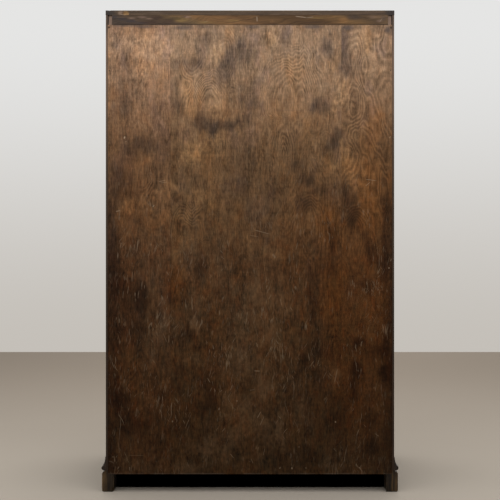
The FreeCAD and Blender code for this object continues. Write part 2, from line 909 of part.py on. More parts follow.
def keyhole(start_y, end_y, gap):
    """A hole for the key between two Y planes, round above and slotted below."""
    length = end_y - start_y
    eye = rod(key_shank_radius + gap, Vector(key_x, start_y, lock_height), length, Vector(0, 1, 0))
    half = key_bit_thickness / 2 + free_gap
    low = lock_height - key_bit_reach - free_gap
    return eye.fuse(block(key_x - half, key_x + half, start_y, end_y, low, lock_height))


def lock_bolt():
    """The bolt, drawn back into the case."""
    ys = (bolt_y, bolt_y + lock_bolt_thickness)
    return block(lock_x[0], lock_x[0] + lock_bolt_length, *ys, bolt_z, bolt_z + lock_bolt_height)


def lock_screws():
    """The seats of the four screws in the lock's flanges."""
    y = y_inner + lock_wall
    half = lock_flange / 2
    xs = (lock_x[0] + lock_screw_inset, lock_x[1] - lock_screw_inset)
    zs = (lock_z[0] - half, lock_z[1] + half)
    return [(Vector(x, y, z), Vector(0, 1, 0)) for x in xs for z in zs]


def lock_case():
    """A flanged box on the inner face of the meeting stile."""
    box = block(*lock_x, y_inner, y_inner + lock_case_depth, *lock_z)
    flange = block(*lock_x, y_inner, y_inner + lock_wall, lock_z[0] - lock_flange, lock_z[1] + lock_flange)
    wall = lock_wall
    ys = (y_inner + wall, y_inner + lock_case_depth - wall)
    inside = block(lock_x[0] + wall, lock_x[1] - wall, *ys, lock_z[0] + wall, lock_z[1] - wall)
    slot = block(
        lock_x[0] - overrun, lock_x[0] + wall + overrun,
        bolt_y - free_gap / 2, bolt_y + lock_bolt_thickness + free_gap / 2,
        bolt_z - free_gap / 2, bolt_z + lock_bolt_height + free_gap / 2,
    )
    pilot_start = Vector(key_x, y_inner + wall, lock_height)
    pilot = rod(key_pilot_radius + running_gap, pilot_start, lock_case_depth, Vector(0, 1, 0))
    holes = [screw_hole(*seat) for seat in lock_screws()]
    hollow = [inside, slot, pilot, keyhole(y_inner - overrun, y_inner + wall, free_gap)]
    return box.fuse(flange).removeSplitter().cut(hollow + holes)


def key():
    """The key in the lock, its bit hanging down below the bolt."""
    inward = Vector(0, 1, 0)
    bow_y = y_front - key_front_reach + key_bow_radius
    shank_start = bow_y + (key_bow_bore + key_bow_radius) / 2
    shank_end = bit_y + key_bit_width
    shank = rod(key_shank_radius, Vector(key_x, shank_start, lock_height), shank_end - shank_start, inward)
    pilot_length = y_inner + lock_case_depth + key_pilot_end - shank_end
    pilot = rod(key_pilot_radius, Vector(key_x, shank_end, lock_height), pilot_length, inward)
    collar_y = y_front - escutcheon_thickness - free_gap - key_collar_length
    collar = rod(key_collar_radius, Vector(key_x, collar_y, lock_height), key_collar_length, inward)
    half = key_bit_thickness / 2
    bit = block(key_x - half, key_x + half, bit_y, shank_end, lock_height - key_bit_reach, lock_height)
    ward_y = (bit_y + shank_end - key_ward_width) / 2
    ward_low = lock_height - key_bit_reach
    ward = block(
        key_x - half - overrun, key_x + half + overrun,
        ward_y, ward_y + key_ward_width, ward_low - overrun, ward_low + key_ward_depth,
    )
    side = key_x - key_bow_thickness / 2
    across = Vector(1, 0, 0)
    bow = rod(key_bow_radius, Vector(side, bow_y, lock_height), key_bow_thickness, across)
    bow = bow.cut(rod(key_bow_bore, Vector(side, bow_y, lock_height), key_bow_thickness, across))
    return shank.fuse([pilot, collar, bit.cut(ward), bow]).removeSplitter()


def escutcheon():
    """The plate round the keyhole on the front of the door."""
    face = y_front - escutcheon_thickness
    middle = lock_height - key_bit_reach / 2
    plate = stadium(escutcheon_width, escutcheon_length, key_x, middle, face, y_front)
    return plate.cut(keyhole(face - overrun, y_front + overrun, running_gap))


# Slide bolts inside the left door, modelled at the right and mirrored

def slide_hole(z0, z1):
    """The hole that a slide bolt enters, on the left."""
    start = Vector(-stile_middle, slide_y, z0)
    return rod(slide_bolt_radius + free_gap, start, z1 - z0, Vector(0, 0, 1))


def slide_bolt(tip, up):
    """A round bolt with a knob, drawn back from its hole."""
    low = min(tip, tip - up * slide_bolt_length)
    bar = rod(slide_bolt_radius, Vector(stile_middle, slide_y, low), slide_bolt_length, Vector(0, 0, 1))
    far = slide_plate_tip_gap + slide_plate_length - slide_guide_height
    knob_z = tip - up * (far - slide_knob_radius - free_gap)
    knob_length = slide_bolt_radius + slide_knob_length
    knob_start = Vector(stile_middle, slide_y, knob_z)
    return bar.fuse(rod(slide_knob_radius, knob_start, knob_length, Vector(0, 1, 0)))


def slide_screws(tip, up):
    """The seats of the four screws in a slide bolt's plate."""
    middle = tip - up * (slide_plate_tip_gap + slide_plate_length / 2)
    y = y_inner + slide_plate_thickness
    seats = []
    for side in (-1, 1):
        for end in (-1, 1):
            x = stile_middle + side * slide_screw_offset
            seats.append((Vector(x, y, middle + end * slide_screw_spacing / 2), Vector(0, 1, 0)))
    return seats


def slide_plate(tip, up):
    """The plate of a slide bolt with its two guides."""
    near = tip - up * slide_plate_tip_gap
    far = near - up * slide_plate_length
    half = slide_plate_width / 2
    face = y_inner + slide_plate_thickness
    plate = block(stile_middle - half, stile_middle + half, y_inner, face, near, far)
    half = slide_guide_width / 2
    crest = slide_y + slide_bolt_radius + slide_guide_wall
    xs = (stile_middle - half, stile_middle + half)
    guides = [
        block(*xs, y_inner, crest, near, near - up * slide_guide_height),
        block(*xs, y_inner, crest, far, far + up * slide_guide_height),
    ]
    start = Vector(stile_middle, slide_y, min(near, far))
    bore = rod(slide_bolt_radius + running_gap, start, slide_plate_length, Vector(0, 0, 1))
    holes = [screw_hole(*seat) for seat in slide_screws(tip, up)]
    return plate.fuse(guides).removeSplitter().cut([bore] + holes)


slide_tips = {
    "top": (z_stop - slide_bolt_rest_gap, 1),
    "bottom": (z_floor + slide_bolt_rest_gap, -1),
}


def write_carcase():
    """The nodes that stand still."""
    node("top_board", top_board())
    node("rear_top_rail", rear_top_rail())
    node("rear_bottom_rail", cross_rail("rear_bottom_rail").cut(pin_holes()))
    node("front_top_rail", cross_rail("front_top_rail"))
    node("front_bottom_rail", cross_rail("front_bottom_rail"))
    node("back_panel", back_panel())
    node("back_panel_pins", *[pin(x, z, 0) for x, z in pin_places()])
    pieces = {
        "front_stile": front_stile(),
        "rear_stile": rear_stile(),
        "side_rails": Part.makeCompound([side_rail("bottom"), side_rail("top")]),
        "side_panel": side_panel(),
    }
    for name, shape in pieces.items():
        node("right_" + name, shape)
        node("left_" + name, mirrored(shape))
    node("floor_board", floor_board())
    node("door_stop_strip", door_stop_strip())
    node("hat_shelf", hat_shelf())
    node("shelf_bearers", *both_sides(shelf_bearer()))
    node("hanging_rail", hanging_rail())
    node("rail_sockets", *both_sides(rail_socket()))


def write_base():
    """The base moulding, the feet and their dowels."""
    node("base_moulding_front", front_moulding())
    node("base_moulding_sides", *both_sides(side_moulding()))
    for name, shape in {"front": front_foot(), "rear": rear_foot()}.items():
        node(name + "_right_foot", shape)
        node(name + "_left_foot", mirrored(shape))
    dowels = [dowel(y_front + dowel_setback, 0), dowel(y_rebate - dowel_setback, 0)]
    node("foot_dowels", *[piece for shape in dowels for piece in both_sides(shape)])


def write_hinges():
    """The hinge leaves, pins and screws that stay on the carcase."""
    leaves = [hinge_leaf(1, z) for z in hinge_centres]
    pins = [hinge_pin(z) for z in hinge_centres]
    screws = [screw(*seat) for z in hinge_centres for seat in leaf_screws(1, z)]
    screws += [screw(*seat) for seat in socket_screws()]
    node("hinge_frame_leaves", *[piece for leaf in leaves for piece in both_sides(leaf)])
    node("hinge_pins", *[piece for shape in pins for piece in both_sides(shape)])
    node("carcase_screws", *[piece for shape in screws for piece in both_sides(shape)])


def write_doors():
    """Both doors, with the lock in the right one and the slide bolts on the left one."""
    lock_room = [keyhole(y_front - overrun, y_inner + overrun, free_gap)]
    lock_room += [screw_hole(*seat) for seat in lock_screws()]
    slide_seats = [seat for tip in slide_tips.values() for seat in slide_screws(*tip)]
    slide_room = [screw_hole(*seat) for seat in slide_seats]
    hinge_seats = [seat for z in hinge_centres for seat in leaf_screws(-1, z)]
    framing = {
        "hinge_stile": hinge_stile(),
        "meeting_stile": meeting_stile(),
        "top_rail": door_rail("top_rail"),
        "lock_rail": door_rail("lock_rail"),
        "bottom_rail": door_rail("bottom_rail"),
    }
    for name, shape in framing.items():
        node("right_door_" + name, shape.cut(lock_room))
        node("left_door_" + name, mirrored(shape.cut(slide_room)))
    pieces = {
        "upper_panel": door_panel(*z_upper),
        "lower_panel": door_panel(*z_lower),
        "hinge_leaves": Part.makeCompound([hinge_leaf(-1, z) for z in hinge_centres]),
        "handle_plate": Part.makeCompound([handle_plate(), handle_pin(0), handle_nut()]),
    }
    for name, shape in pieces.items():
        node("right_door_" + name, shape)
        node("left_door_" + name, mirrored(shape))
    node("right_door_screws", *[screw(*seat) for seat in hinge_seats + lock_screws()])
    node("left_door_screws", *[mirrored(screw(*seat)) for seat in hinge_seats + slide_seats])
    node("right_handle_drop", handle_drop())
    node("left_handle_drop", mirrored(handle_drop()))


def write_locks():
    """The lock, its key and the slide bolts."""
    node("right_door_lock_case", lock_case())
    node("right_door_escutcheon", escutcheon())
    node("lock_bolt", lock_bolt())
    node("key", key())
    node("left_door_slide_plates", *[mirrored(slide_plate(*tip)) for tip in slide_tips.values()])
    for name, tip in slide_tips.items():
        node(name + "_slide_bolt", mirrored(slide_bolt(*tip)))


write_carcase()
write_base()
write_hinges()
write_doors()
write_locks()
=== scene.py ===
"""The wardrobe's surfaces, light and camera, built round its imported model.

The photograph looks square at the back. Places read from it are given by column and row, and
back_x and back_z turn them into metres on the plane of the back.
"""

import json
import math

import bpy
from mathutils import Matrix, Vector, noise


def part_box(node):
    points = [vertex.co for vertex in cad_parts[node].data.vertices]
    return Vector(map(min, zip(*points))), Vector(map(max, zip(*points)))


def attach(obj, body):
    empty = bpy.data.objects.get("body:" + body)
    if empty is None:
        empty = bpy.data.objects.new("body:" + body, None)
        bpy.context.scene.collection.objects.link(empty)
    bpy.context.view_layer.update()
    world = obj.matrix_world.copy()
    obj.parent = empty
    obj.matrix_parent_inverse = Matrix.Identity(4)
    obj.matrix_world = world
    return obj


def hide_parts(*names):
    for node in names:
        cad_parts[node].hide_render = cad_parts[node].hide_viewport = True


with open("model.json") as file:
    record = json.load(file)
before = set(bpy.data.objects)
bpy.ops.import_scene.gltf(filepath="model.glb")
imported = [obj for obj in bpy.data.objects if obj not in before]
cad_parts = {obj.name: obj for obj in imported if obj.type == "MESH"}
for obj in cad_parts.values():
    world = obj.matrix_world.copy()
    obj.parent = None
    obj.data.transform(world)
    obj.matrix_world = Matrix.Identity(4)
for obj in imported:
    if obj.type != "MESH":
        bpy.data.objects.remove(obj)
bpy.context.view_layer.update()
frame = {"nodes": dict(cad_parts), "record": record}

# The photograph's frame
PICTURE_SIDE = 500
PIXEL = 0.0037
MIDDLE_COLUMN = 250
FLOOR_ROW = 492.5
EYE_ROW = 210
CAMERA_DISTANCE = 3.2
REAR_PLANE = 0.27
SENSOR = 36
FLOOR_END_ROW = 352

# The back panel's heights
PANEL_FOOT = 0.07
PANEL_HEIGHT = 1.66

# Working sizes of the pieces
WELD = 0.00001
FLAT_ANGLE = math.radians(0.6)
SHARP_ANGLE = math.radians(35)
EASED_EDGE = 0.0012
FINE_EDGE = 0.0006
CHIP_ROUGHNESS = 0.0006
CHIP_ANGLE = math.radians(50)
FLAT_WEIGHT = 80


def back_x(column):
    """Metres to the side of the middle for a column of the photograph."""
    return (MIDDLE_COLUMN - column) * PIXEL


def back_z(row):
    """Height in metres for a row of the photograph."""
    return (FLOOR_ROW - row) * PIXEL


def tone(red, green, blue):
    """A colour as it looks, 0 to 255 a channel, in the linear values that shaders take."""
    seen = [channel / 255 for channel in (red, green, blue)]
    linear = [c / 12.92 if c <= 0.04045 else ((c + 0.055) / 1.055) ** 2.4 for c in seen]
    return (*linear, 1)


def tones(*stops):
    """Stops of a ramp, each a place from 0 to 1 and a colour as it looks."""
    return tuple((place, tone(*colour)) for place, *colour in stops)


# Patterns

OFF_THE_NET = (0.31, 0.57, 0.73)
CORNER_SAMPLES = 4
CORNER_TURN = (0.985, 0.8)


class Pattern:
    """A node tree that is being laid out. Most methods add a node and give its output."""

    def __init__(self, tree):
        self.tree = tree

    def node(self, kind, **settings):
        made = self.tree.nodes.new(kind)
        for name, value in settings.items():
            setattr(made, name, value)
        return made

    def feed(self, socket, value):
        if isinstance(value, bpy.types.NodeSocket):
            self.tree.links.new(value, socket)
        else:
            socket.default_value = value

    def fed(self, made, *values):
        """A node with its first inputs filled in turn."""
        for socket, value in zip(made.inputs, values):
            self.feed(socket, value)
        return made

    def maths(self, operation, *values, clamp=False):
        made = self.node("ShaderNodeMath", operation=operation, use_clamp=clamp)
        return self.fed(made, *values).outputs[0]

    def chain(self, operation, first, *others):
        for other in others:
            first = self.maths(operation, first, other)
        return first

    def add(self, *values):
        return self.chain("ADD", *values)

    def minus(self, first, second):
        return self.maths("SUBTRACT", first, second)

    def times(self, *values):
        return self.chain("MULTIPLY", *values)

    def highest(self, *values):
        return self.chain("MAXIMUM", *values)

    def lowest(self, *values):
        return self.chain("MINIMUM", *values)

    def unsigned(self, value):
        return self.maths("ABSOLUTE", value)

    def summed(self, start, *parts):
        """A start, with each part added by its share."""
        for part, share in parts:
            start = self.add(start, self.times(part, share))
        return start

    def vector(self, operation, *values):
        made = self.fed(self.node("ShaderNodeVectorMath", operation=operation), *values)
        return made.outputs["Value" if operation in ("LENGTH", "DOT_PRODUCT") else "Vector"]

    def place(self):
        return self.node("ShaderNodeTexCoord").outputs["Object"]

    def painted(self, name):
        """What is painted on the piece's own surface under a name."""
        return self.node("ShaderNodeAttribute", attribute_name=name).outputs["Fac"]

    def axes(self, vector):
        return self.fed(self.node("ShaderNodeSeparateXYZ"), vector).outputs

    def joined(self, x, y, z):
        return self.fed(self.node("ShaderNodeCombineXYZ"), x, y, z).outputs[0]

    def flattened(self, place):
        """The place on the back, without its depth."""
        x, _, z = self.axes(place)
        return self.joined(x, 0, z)

    def noise(self, place, stretch, detail=2, rough=0.5, cloud=False):
        """Soft noise, with stretch as its count of lumps a metre along each axis."""
        made = self.node("ShaderNodeTexNoise")
        counts = self.vector("MULTIPLY_ADD", place, stretch, OFF_THE_NET)
        for name, value in (("Vector", counts), ("Scale", 1), ("Detail", detail), ("Roughness", rough)):
            self.feed(made.inputs[name], value)
        return made.outputs["Color" if cloud else 0]

    def uneven(self, place, stretch, detail=3, rough=0.6):
        """Soft noise that is 0 on average."""
        return self.minus(self.noise(place, stretch, detail, rough), 0.5)

    def areas(self, place, stretch, low, high, detail=2, rough=0.5):
        """Soft areas where noise passes from low to high."""
        return self.span(self.noise(place, stretch, detail, rough), low, high)

    def strayed(self, place, stretch, reach):
        """A place pulled about by soft noise, with the reach in metres."""
        pull = self.vector("SUBTRACT", self.noise(place, stretch, cloud=True), (0.5, 0.5, 0.5))
        return self.vector("ADD", place, self.vector("MULTIPLY", pull, (reach, reach, reach)))

    def span(self, value, low, high, start=0, end=1):
        """Runs smoothly from start to end as the value goes from low to high."""
        made = self.node("ShaderNodeMapRange", interpolation_type="SMOOTHSTEP", clamp=True)
        return self.fed(made, value, low, high, start, end).outputs[0]

    def mix(self, share, first, second, kind="MIX"):
        made = self.node("ShaderNodeMix", data_type="RGBA", blend_type=kind)
        for number, value in ((0, share), (6, first), (7, second)):
            self.feed(made.inputs[number], value)
        return made.outputs[2]

    def tinted(self, colour, tint, share=1):
        """A colour multiplied by a tint, wholly or by a share."""
        return self.mix(share, colour, tint, "MULTIPLY")

    def laid(self, colour, shade, *shares):
        """A colour with a shade laid over it, by the product of some shares."""
        return self.mix(self.times(*shares), colour, shade)

    def level(self, colour, brightness):
        """A colour made lighter or darker by a changing amount."""
        return self.tinted(colour, self.joined(brightness, brightness, brightness))

    def ramp(self, value, *stops, kind="LINEAR"):
        """A run of colours, each stop a place from 0 to 1 and a colour."""
        made = self.fed(self.node("ShaderNodeValToRGB"), value)
        made.color_ramp.interpolation = kind
        marks = made.color_ramp.elements
        while len(marks) < len(stops):
            marks.new(0.5)
        for mark, (at, colour) in zip(marks, stops):
            mark.position = at
            mark.color = colour
        return made.outputs[0]

    def near_corner(self, reach):
        """From 0 on the flat to 1 on a corner, fading over a reach in metres."""
        rounded = self.fed(self.node("ShaderNodeBevel", samples=CORNER_SAMPLES), reach)
        flat = self.node("ShaderNodeNewGeometry").outputs["Normal"]
        return self.span(self.vector("DOT_PRODUCT", rounded.outputs[0], flat), *CORNER_TURN)

    def facing_up(self):
        """How far a surface looks up, from 0 to 1."""
        normal = self.node("ShaderNodeNewGeometry").outputs["Normal"]
        return self.highest(self.axes(normal)[2], 0)

    def group(self, tree, *values):
        """A shared pattern with its own values."""
        return self.fed(self.node("ShaderNodeGroup", node_tree=tree), *values).outputs[0]


class Finish(Pattern):
    """A material under the hand: a pattern that ends in a shader."""

    def __init__(self, name, **constants):
        self.material = bpy.data.materials.new(name)
        self.material.use_nodes = True
        super().__init__(self.material.node_tree)
        self.tree.nodes.clear()
        output = self.node("ShaderNodeOutputMaterial")
        self.shader = self.node("ShaderNodeBsdfPrincipled")
        self.tree.links.new(self.shader.outputs[0], output.inputs["Surface"])
        for socket, value in constants.items():
            self.shader.inputs[socket.replace("_", " ")].default_value = value

    def colour(self, value):
        self.feed(self.shader.inputs["Base Color"], value)

    def roughness(self, value):
        self.feed(self.shader.inputs["Roughness"], value)

    def relief(self, height, depth, strength=1):
        """Fine relief, with depth in metres for a height of 1."""
        made = self.node("ShaderNodeBump")
        made.inputs["Strength"].default_value = strength
        made.inputs["Distance"].default_value = depth
        self.feed(made.inputs["Height"], height)
        self.feed(self.shader.inputs["Normal"], made.outputs[0])


def new_group(name, vectors, numbers):
    """An empty shared pattern, and its inputs in order: vectors, then numbers."""
    tree = bpy.data.node_groups.new(name, "ShaderNodeTree")
    for kind, labels in (("NodeSocketVector", vectors), ("NodeSocketFloat", numbers)):
        for label in labels:
            tree.interface.new_socket(label, in_out="INPUT", socket_type=kind)
    tree.interface.new_socket("Result", in_out="OUTPUT", socket_type="NodeSocketFloat")
    f = Pattern(tree)
    given = f.node("NodeGroupInput").outputs
    return f, given[:len(vectors) + len(numbers)]


def end_group(f, result):
    f.fed(f.node("NodeGroupOutput"), result)
    return f.tree


PATCH_FADE = (1.15, 0.25)
MARK_ENDS = (1, 0.6)
MARK_SIDES = (1, 0.3)


def patch_pattern():
    """A soft oval patch: 1 at its middle, 0 outside."""
    f, (place, middle, reach, strength) = new_group("patch", ("Place", "Middle", "Reach"), ("Strength",))
    away = f.vector("DIVIDE", f.vector("SUBTRACT", place, middle), reach)
    return end_group(f, f.times(f.span(f.vector("LENGTH", away), *PATCH_FADE), strength))


def scratch_pattern():
    """A thin straight mark with soft ends: place, middle, direction along it, half length, half width."""
    f, (place, middle, along, half_length, half_width) = new_group(
        "scratch", ("Place", "Middle", "Along"), ("Half length", "Half width"))
    away = f.vector("SUBTRACT", place, middle)
    run = f.unsigned(f.vector("DOT_PRODUCT", away, along))
    side = f.vector("LENGTH", f.vector("CROSS_PRODUCT", away, along))
    length = f.span(f.maths("DIVIDE", run, half_length), *MARK_ENDS)
    width = f.span(f.maths("DIVIDE", side, half_width), *MARK_SIDES)
    return end_group(f, f.times(length, width))


PATCH = patch_pattern()
SCRATCH = scratch_pattern()
FLAT_Y = 1000
PATCH_END = 2.15
PATCH_CORE = 0.3
TONGUE = 0.02
SWAY_ACROSS = 0.013
SWAY_UP = 0.018
WARP_ACROSS = 0.012
WARP_UP = 0.03


def back_patches(f, place, patches):
    """Soft patches on the back, 1 at most: column, row, half width, half height and strength."""
    total = 0
    for column, row, half_width, half_height, strength in patches:
        middle = (back_x(column), 0, back_z(row))
        reach = (half_width * PIXEL, FLAT_Y, half_height * PIXEL)
        total = f.add(f.group(PATCH, place, middle, reach, strength), total)
    return f.lowest(total, 1)


def back_marks(f, place, marks):
    """The brightest of thin marks: column, row, half length, half width, lean from upright, strength."""
    total = 0
    for column, row, half_length, half_width, lean, strength in marks:
        middle = (back_x(column), 0, back_z(row))
        angle = math.radians(lean)
        along = (-math.sin(angle), 0, math.cos(angle))
        mark = f.group(SCRATCH, place, middle, along, half_length * PIXEL, half_width * PIXEL)
        total = f.highest(f.times(mark, strength), total)
    return total


def soft_oval(across, up):
    """1 at the middle of an oval patch, 0 outside, from the distance in its own half sizes."""
    away = math.hypot(across, up)
    share = min(max((PATCH_END - away) / (PATCH_END - PATCH_CORE), 0.0), 1.0)
    return share * share * (3 - 2 * share)


def waver(x, z, across, up, layer, rough=0.8, octaves=4):
    """Smooth noise on the plane of the back, from its lumps a metre across and up."""
    return noise.fractal((x * across, layer, z * up), rough, 2.0, octaves)


def frayed(x, z):
    """A place on the back, pulled along the grain so that stains end in ragged tongues."""
    tongue = waver(x, z, 60, 5, 3.7, rough=0.7, octaves=3)
    return (x + SWAY_ACROSS * waver(x, z, 14, 12, 8.1),
            z + TONGUE * tongue + SWAY_UP * waver(x, z, 16, 9, 1.9))


def paint(piece, name, values):
    """Keeps one value a vertex with the piece, for its finish to read."""
    piece.data.attributes.new(name, "FLOAT", "POINT").data.foreach_set("value", values)


def hill_rise(x, z, column, row, half_width, up, down, height):
    """The rise of one bump of the growth rings, from its half width and its reach up and down."""
    across = (x - back_x(column)) / (half_width * PIXEL)
    if abs(across) >= 1:
        return 0.0
    over = z - back_z(row)
    away = math.hypot(across, over / ((up if over > 0 else down) * PIXEL))
    return height * (1 - away) * min(1.0, 0.6 + away) if away < 1 else 0.0


def carved(piece, hills):
    """Paints the rise of the growth rings, the sum of their bumps."""
    rises = []
    for vertex in piece.data.vertices:
        x, z = vertex.co.x, vertex.co.z
        x, z = x + WARP_ACROSS * waver(x, z, 7, 4, 2.3), z + WARP_UP * waver(x, z, 6, 5, 6.9)
        rises.append(sum(hill_rise(x, z, *hill) for hill in hills))
    paint(piece, "rise", rises)


def painted(piece, name, patches):
    """Paints soft patches on the back, each a column, row, half width, half height and strength."""
    spots = [frayed(vertex.co.x, vertex.co.z) for vertex in piece.data.vertices]
    strengths = [0.0] * len(spots)
    for column, row, half_width, half_height, strength in patches:
        middle_x, middle_z = back_x(column), back_z(row)
        reach_x, reach_z = half_width * PIXEL, half_height * PIXEL
        for number, (x, z) in enumerate(spots):
            across = (x - middle_x) / reach_x
            if abs(across) < PATCH_END:
                up = (z - middle_z) / reach_z
                if abs(up) < PATCH_END:
                    strengths[number] += strength * soft_oval(across, up)
    paint(piece, name, strengths)


# The back's stained plywood

SEAM_COLUMNS = (170.5, 341.5)
SEAM_STAINS = (
    (341.5, 24, 75, 13, 0.75), (341.5, 197, 224, 12, 0.8), (170.5, 78, 120, 12, 0.4),
    (216.5, 378, 414, -12, 0.55), (320, 258, 312, -20, 0.4), (320, 318, 346, -26, 0.2),
)
SMOKE = (
    (234, 55, 14, 12, 0.5), (244, 45, 8, 6, 0.15), (226, 66, 7, 10, 0.3), (222, 84, 5, 8, 0.35),
    (205, 42, 6, 9, 0.4), (186, 66, 15, 5, 0.3), (198, 60, 6, 8, 0.15), (215, 36, 9, 5, 0.3),
    (326, 50, 6, 10, 0.55), (335, 56, 8, 8, 0.28), (345, 64, 5, 10, 0.28), (342, 74, 7, 5, 0.28),
    (322, 107, 8, 8, 0.7), (312, 110, 5, 5, 0.25), (124, 56, 7, 14, 0.2), (125, 90, 6, 14, 0.27),
    (124, 110, 8, 10, 0.38), (138, 98, 5, 6, 0.25), (177, 95, 4, 18, 0.4), (178, 112, 4, 8, 0.25),
    (247, 96, 9, 15, 0.45), (256, 110, 7, 8, 0.35), (288, 36, 5, 6, 0.4), (284, 48, 5, 8, 0.3),
    (200, 112, 4, 10, 0.45), (203, 123, 9, 7, 0.4), (222, 126, 14, 4, 0.48), (242, 123, 10, 4, 0.45),
    (214, 134, 6, 5, 0.4), (134, 144, 12, 8, 0.42), (149, 142, 9, 6, 0.4), (134, 153, 10, 6, 0.3),
    (334, 140, 9, 7, 0.55), (323, 146, 5, 5, 0.3), (318, 128, 5, 6, 0.25), (241, 150, 10, 13, 0.22),
    (250, 162, 7, 9, 0.15), (228, 166, 8, 7, 0.25), (297, 152, 10, 10, 0.22), (295, 168, 7, 7, 0.35),
    (306, 180, 6, 5, 0.6), (130, 190, 13, 11, 0.4), (125, 171, 10, 8, 0.35), (152, 171, 7, 6, 0.3),
    (116, 180, 5, 20, 0.3), (243, 190, 7, 10, 0.4), (276, 192, 10, 5, 0.45), (302, 207, 8, 10, 0.6),
    (320, 192, 6, 7, 0.52), (342, 192, 6, 7, 0.4), (351, 211, 7, 14, 0.38), (354, 226, 6, 9, 0.42),
    (334, 233, 5, 11, 0.62), (367, 244, 6, 7, 0.5), (374, 256, 5, 8, 0.5), (382, 268, 5, 8, 0.4),
    (308, 246, 5, 7, 0.4), (328, 266, 7, 13, 0.4), (314, 270, 6, 9, 0.3), (201, 268, 6, 13, 0.5),
    (368, 288, 8, 10, 0.4), (386, 240, 4, 30, 0.4), (386, 292, 5, 30, 0.4), (311, 294, 5, 16, 0.45),
    (131, 290, 12, 12, 0.4), (144, 302, 5, 9, 0.45), (172, 299, 5, 6, 0.45), (112, 310, 8, 66, 0.62),
    (136, 326, 9, 24, 0.5), (113, 250, 5, 30, 0.25), (314, 322, 6, 14, 0.45), (309, 352, 9, 7, 0.32),
    (303, 365, 6, 7, 0.4), (330, 348, 14, 6, 0.3), (358, 344, 5, 5, 0.75), (373, 349, 8, 6, 0.5),
    (387, 345, 5, 10, 0.38), (385, 372, 6, 7, 0.5), (358, 370, 5, 7, 0.75), (354, 388, 5, 8, 0.62),
    (189, 338, 7, 5, 0.5), (172, 340, 6, 6, 0.35), (178, 372, 7, 6, 0.4), (178, 388, 6, 6, 0.3),
    (202, 382, 7, 6, 0.4), (209, 397, 6, 10, 0.5), (200, 410, 8, 6, 0.4), (165, 396, 6, 6, 0.45),
    (118, 399, 11, 9, 0.6), (131, 426, 13, 12, 0.52), (176, 430, 6, 6, 0.4), (152, 415, 10, 8, 0.3),
    (333, 424, 12, 12, 0.32), (345, 402, 10, 7, 0.3), (374, 442, 6, 6, 0.52), (370, 420, 6, 8, 0.45),
    (388, 400, 5, 60, 0.5), (295, 452, 12, 5, 0.35), (278, 462, 8, 5, 0.3), (312, 460, 9, 6, 0.35),
    (335, 454, 12, 6, 0.3), (256, 438, 7, 4, 0.35), (387, 180, 4, 50, 0.4), (384, 206, 5, 9, 0.5),
    (248, 54, 12, 7, 0.2), (221, 72, 6, 10, 0.2), (264, 48, 8, 4, 0.15), (184, 62, 11, 6, 0.2),
    (213, 124, 15, 7, 0.2), (252, 168, 15, 18, 0.15), (351, 204, 8, 14, 0.25), (348, 60, 6, 15, 0.25),
    (111, 200, 6, 50, 0.12), (113, 100, 5, 20, 0.25), (362, 454, 14, 8, 0.25),
)
PALE_PATCHES = (
    (113, 54, 6, 20, 0.3), (192, 98, 12, 10, 0.2), (215, 140, 9, 6, 0.4), (192, 150, 9, 8, 0.6),
    (188, 160, 7, 6, 0.3), (216, 153, 6, 7, 0.4), (140, 68, 8, 10, 0.35), (152, 50, 10, 12, 0.35),
    (132, 45, 8, 10, 0.4), (168, 48, 5, 14, 0.3), (216, 105, 5, 10, 0.3), (216, 50, 4, 14, 0.45),
    (272, 36, 8, 8, 0.3), (362, 40, 12, 12, 0.4), (372, 75, 10, 12, 0.3), (345, 92, 5, 12, 0.55),
    (338, 108, 4, 8, 0.3), (345, 152, 6, 7, 0.4), (340, 168, 7, 5, 0.4), (356, 178, 8, 12, 0.45),
    (352, 130, 8, 10, 0.3), (350, 165, 5, 8, 0.3), (150, 201, 13, 6, 0.5), (124, 210, 10, 6, 0.4),
    (166, 188, 9, 7, 0.45),
    (170, 212, 9, 9, 0.4), (191, 215, 8, 5, 0.7), (184, 240, 8, 7, 0.6), (192, 196, 8, 7, 0.4),
    (208, 188, 8, 10, 0.35), (178, 250, 7, 5, 0.4), (212, 205, 7, 9, 0.25), (250, 246, 5, 12, 0.5),
    (254, 285, 5, 12, 0.6), (262, 300, 5, 7, 0.5), (273, 254, 5, 5, 0.9), (276, 290, 6, 12, 0.3),
    (284, 306, 4, 7, 0.6), (244, 316, 7, 6, 0.45), (195, 325, 5, 5, 1.2), (196, 300, 8, 6, 0.4),
    (165, 322, 5, 8, 0.5), (157, 336, 4, 8, 0.55), (152, 354, 4, 8, 0.5), (190, 360, 8, 4, 0.35),
    (183, 277, 9, 6, 0.5), (177, 262, 6, 6, 0.3), (215, 268, 5, 18, 0.35), (232, 344, 14, 10, 0.3),
    (264, 330, 8, 18, 0.25), (276, 345, 6, 12, 0.22), (246, 366, 16, 10, 0.3), (264, 388, 8, 7, 0.5),
    (236, 400, 10, 6, 0.22), (224, 404, 4, 10, 0.15), (250, 412, 14, 12, 0.35), (282, 426, 4, 16, 0.55),
    (264, 430, 10, 10, 0.3), (298, 414, 8, 8, 0.3), (236, 436, 10, 8, 0.35), (212, 444, 10, 8, 0.3),
    (196, 450, 8, 6, 0.25), (226, 455, 6, 8, 0.35), (336, 374, 4, 9, 0.6), (150, 466, 38, 6, 0.25),
    (188, 468, 9, 5, 0.4), (207, 454, 6, 7, 0.3), (262, 460, 5, 6, 0.3), (352, 455, 8, 5, 0.25),
    (166, 374, 4, 8, 0.3), (148, 402, 5, 6, 0.25), (362, 388, 6, 5, 0.3), (330, 462, 8, 5, 0.25),
    (252, 345, 26, 75, 0.14),
)
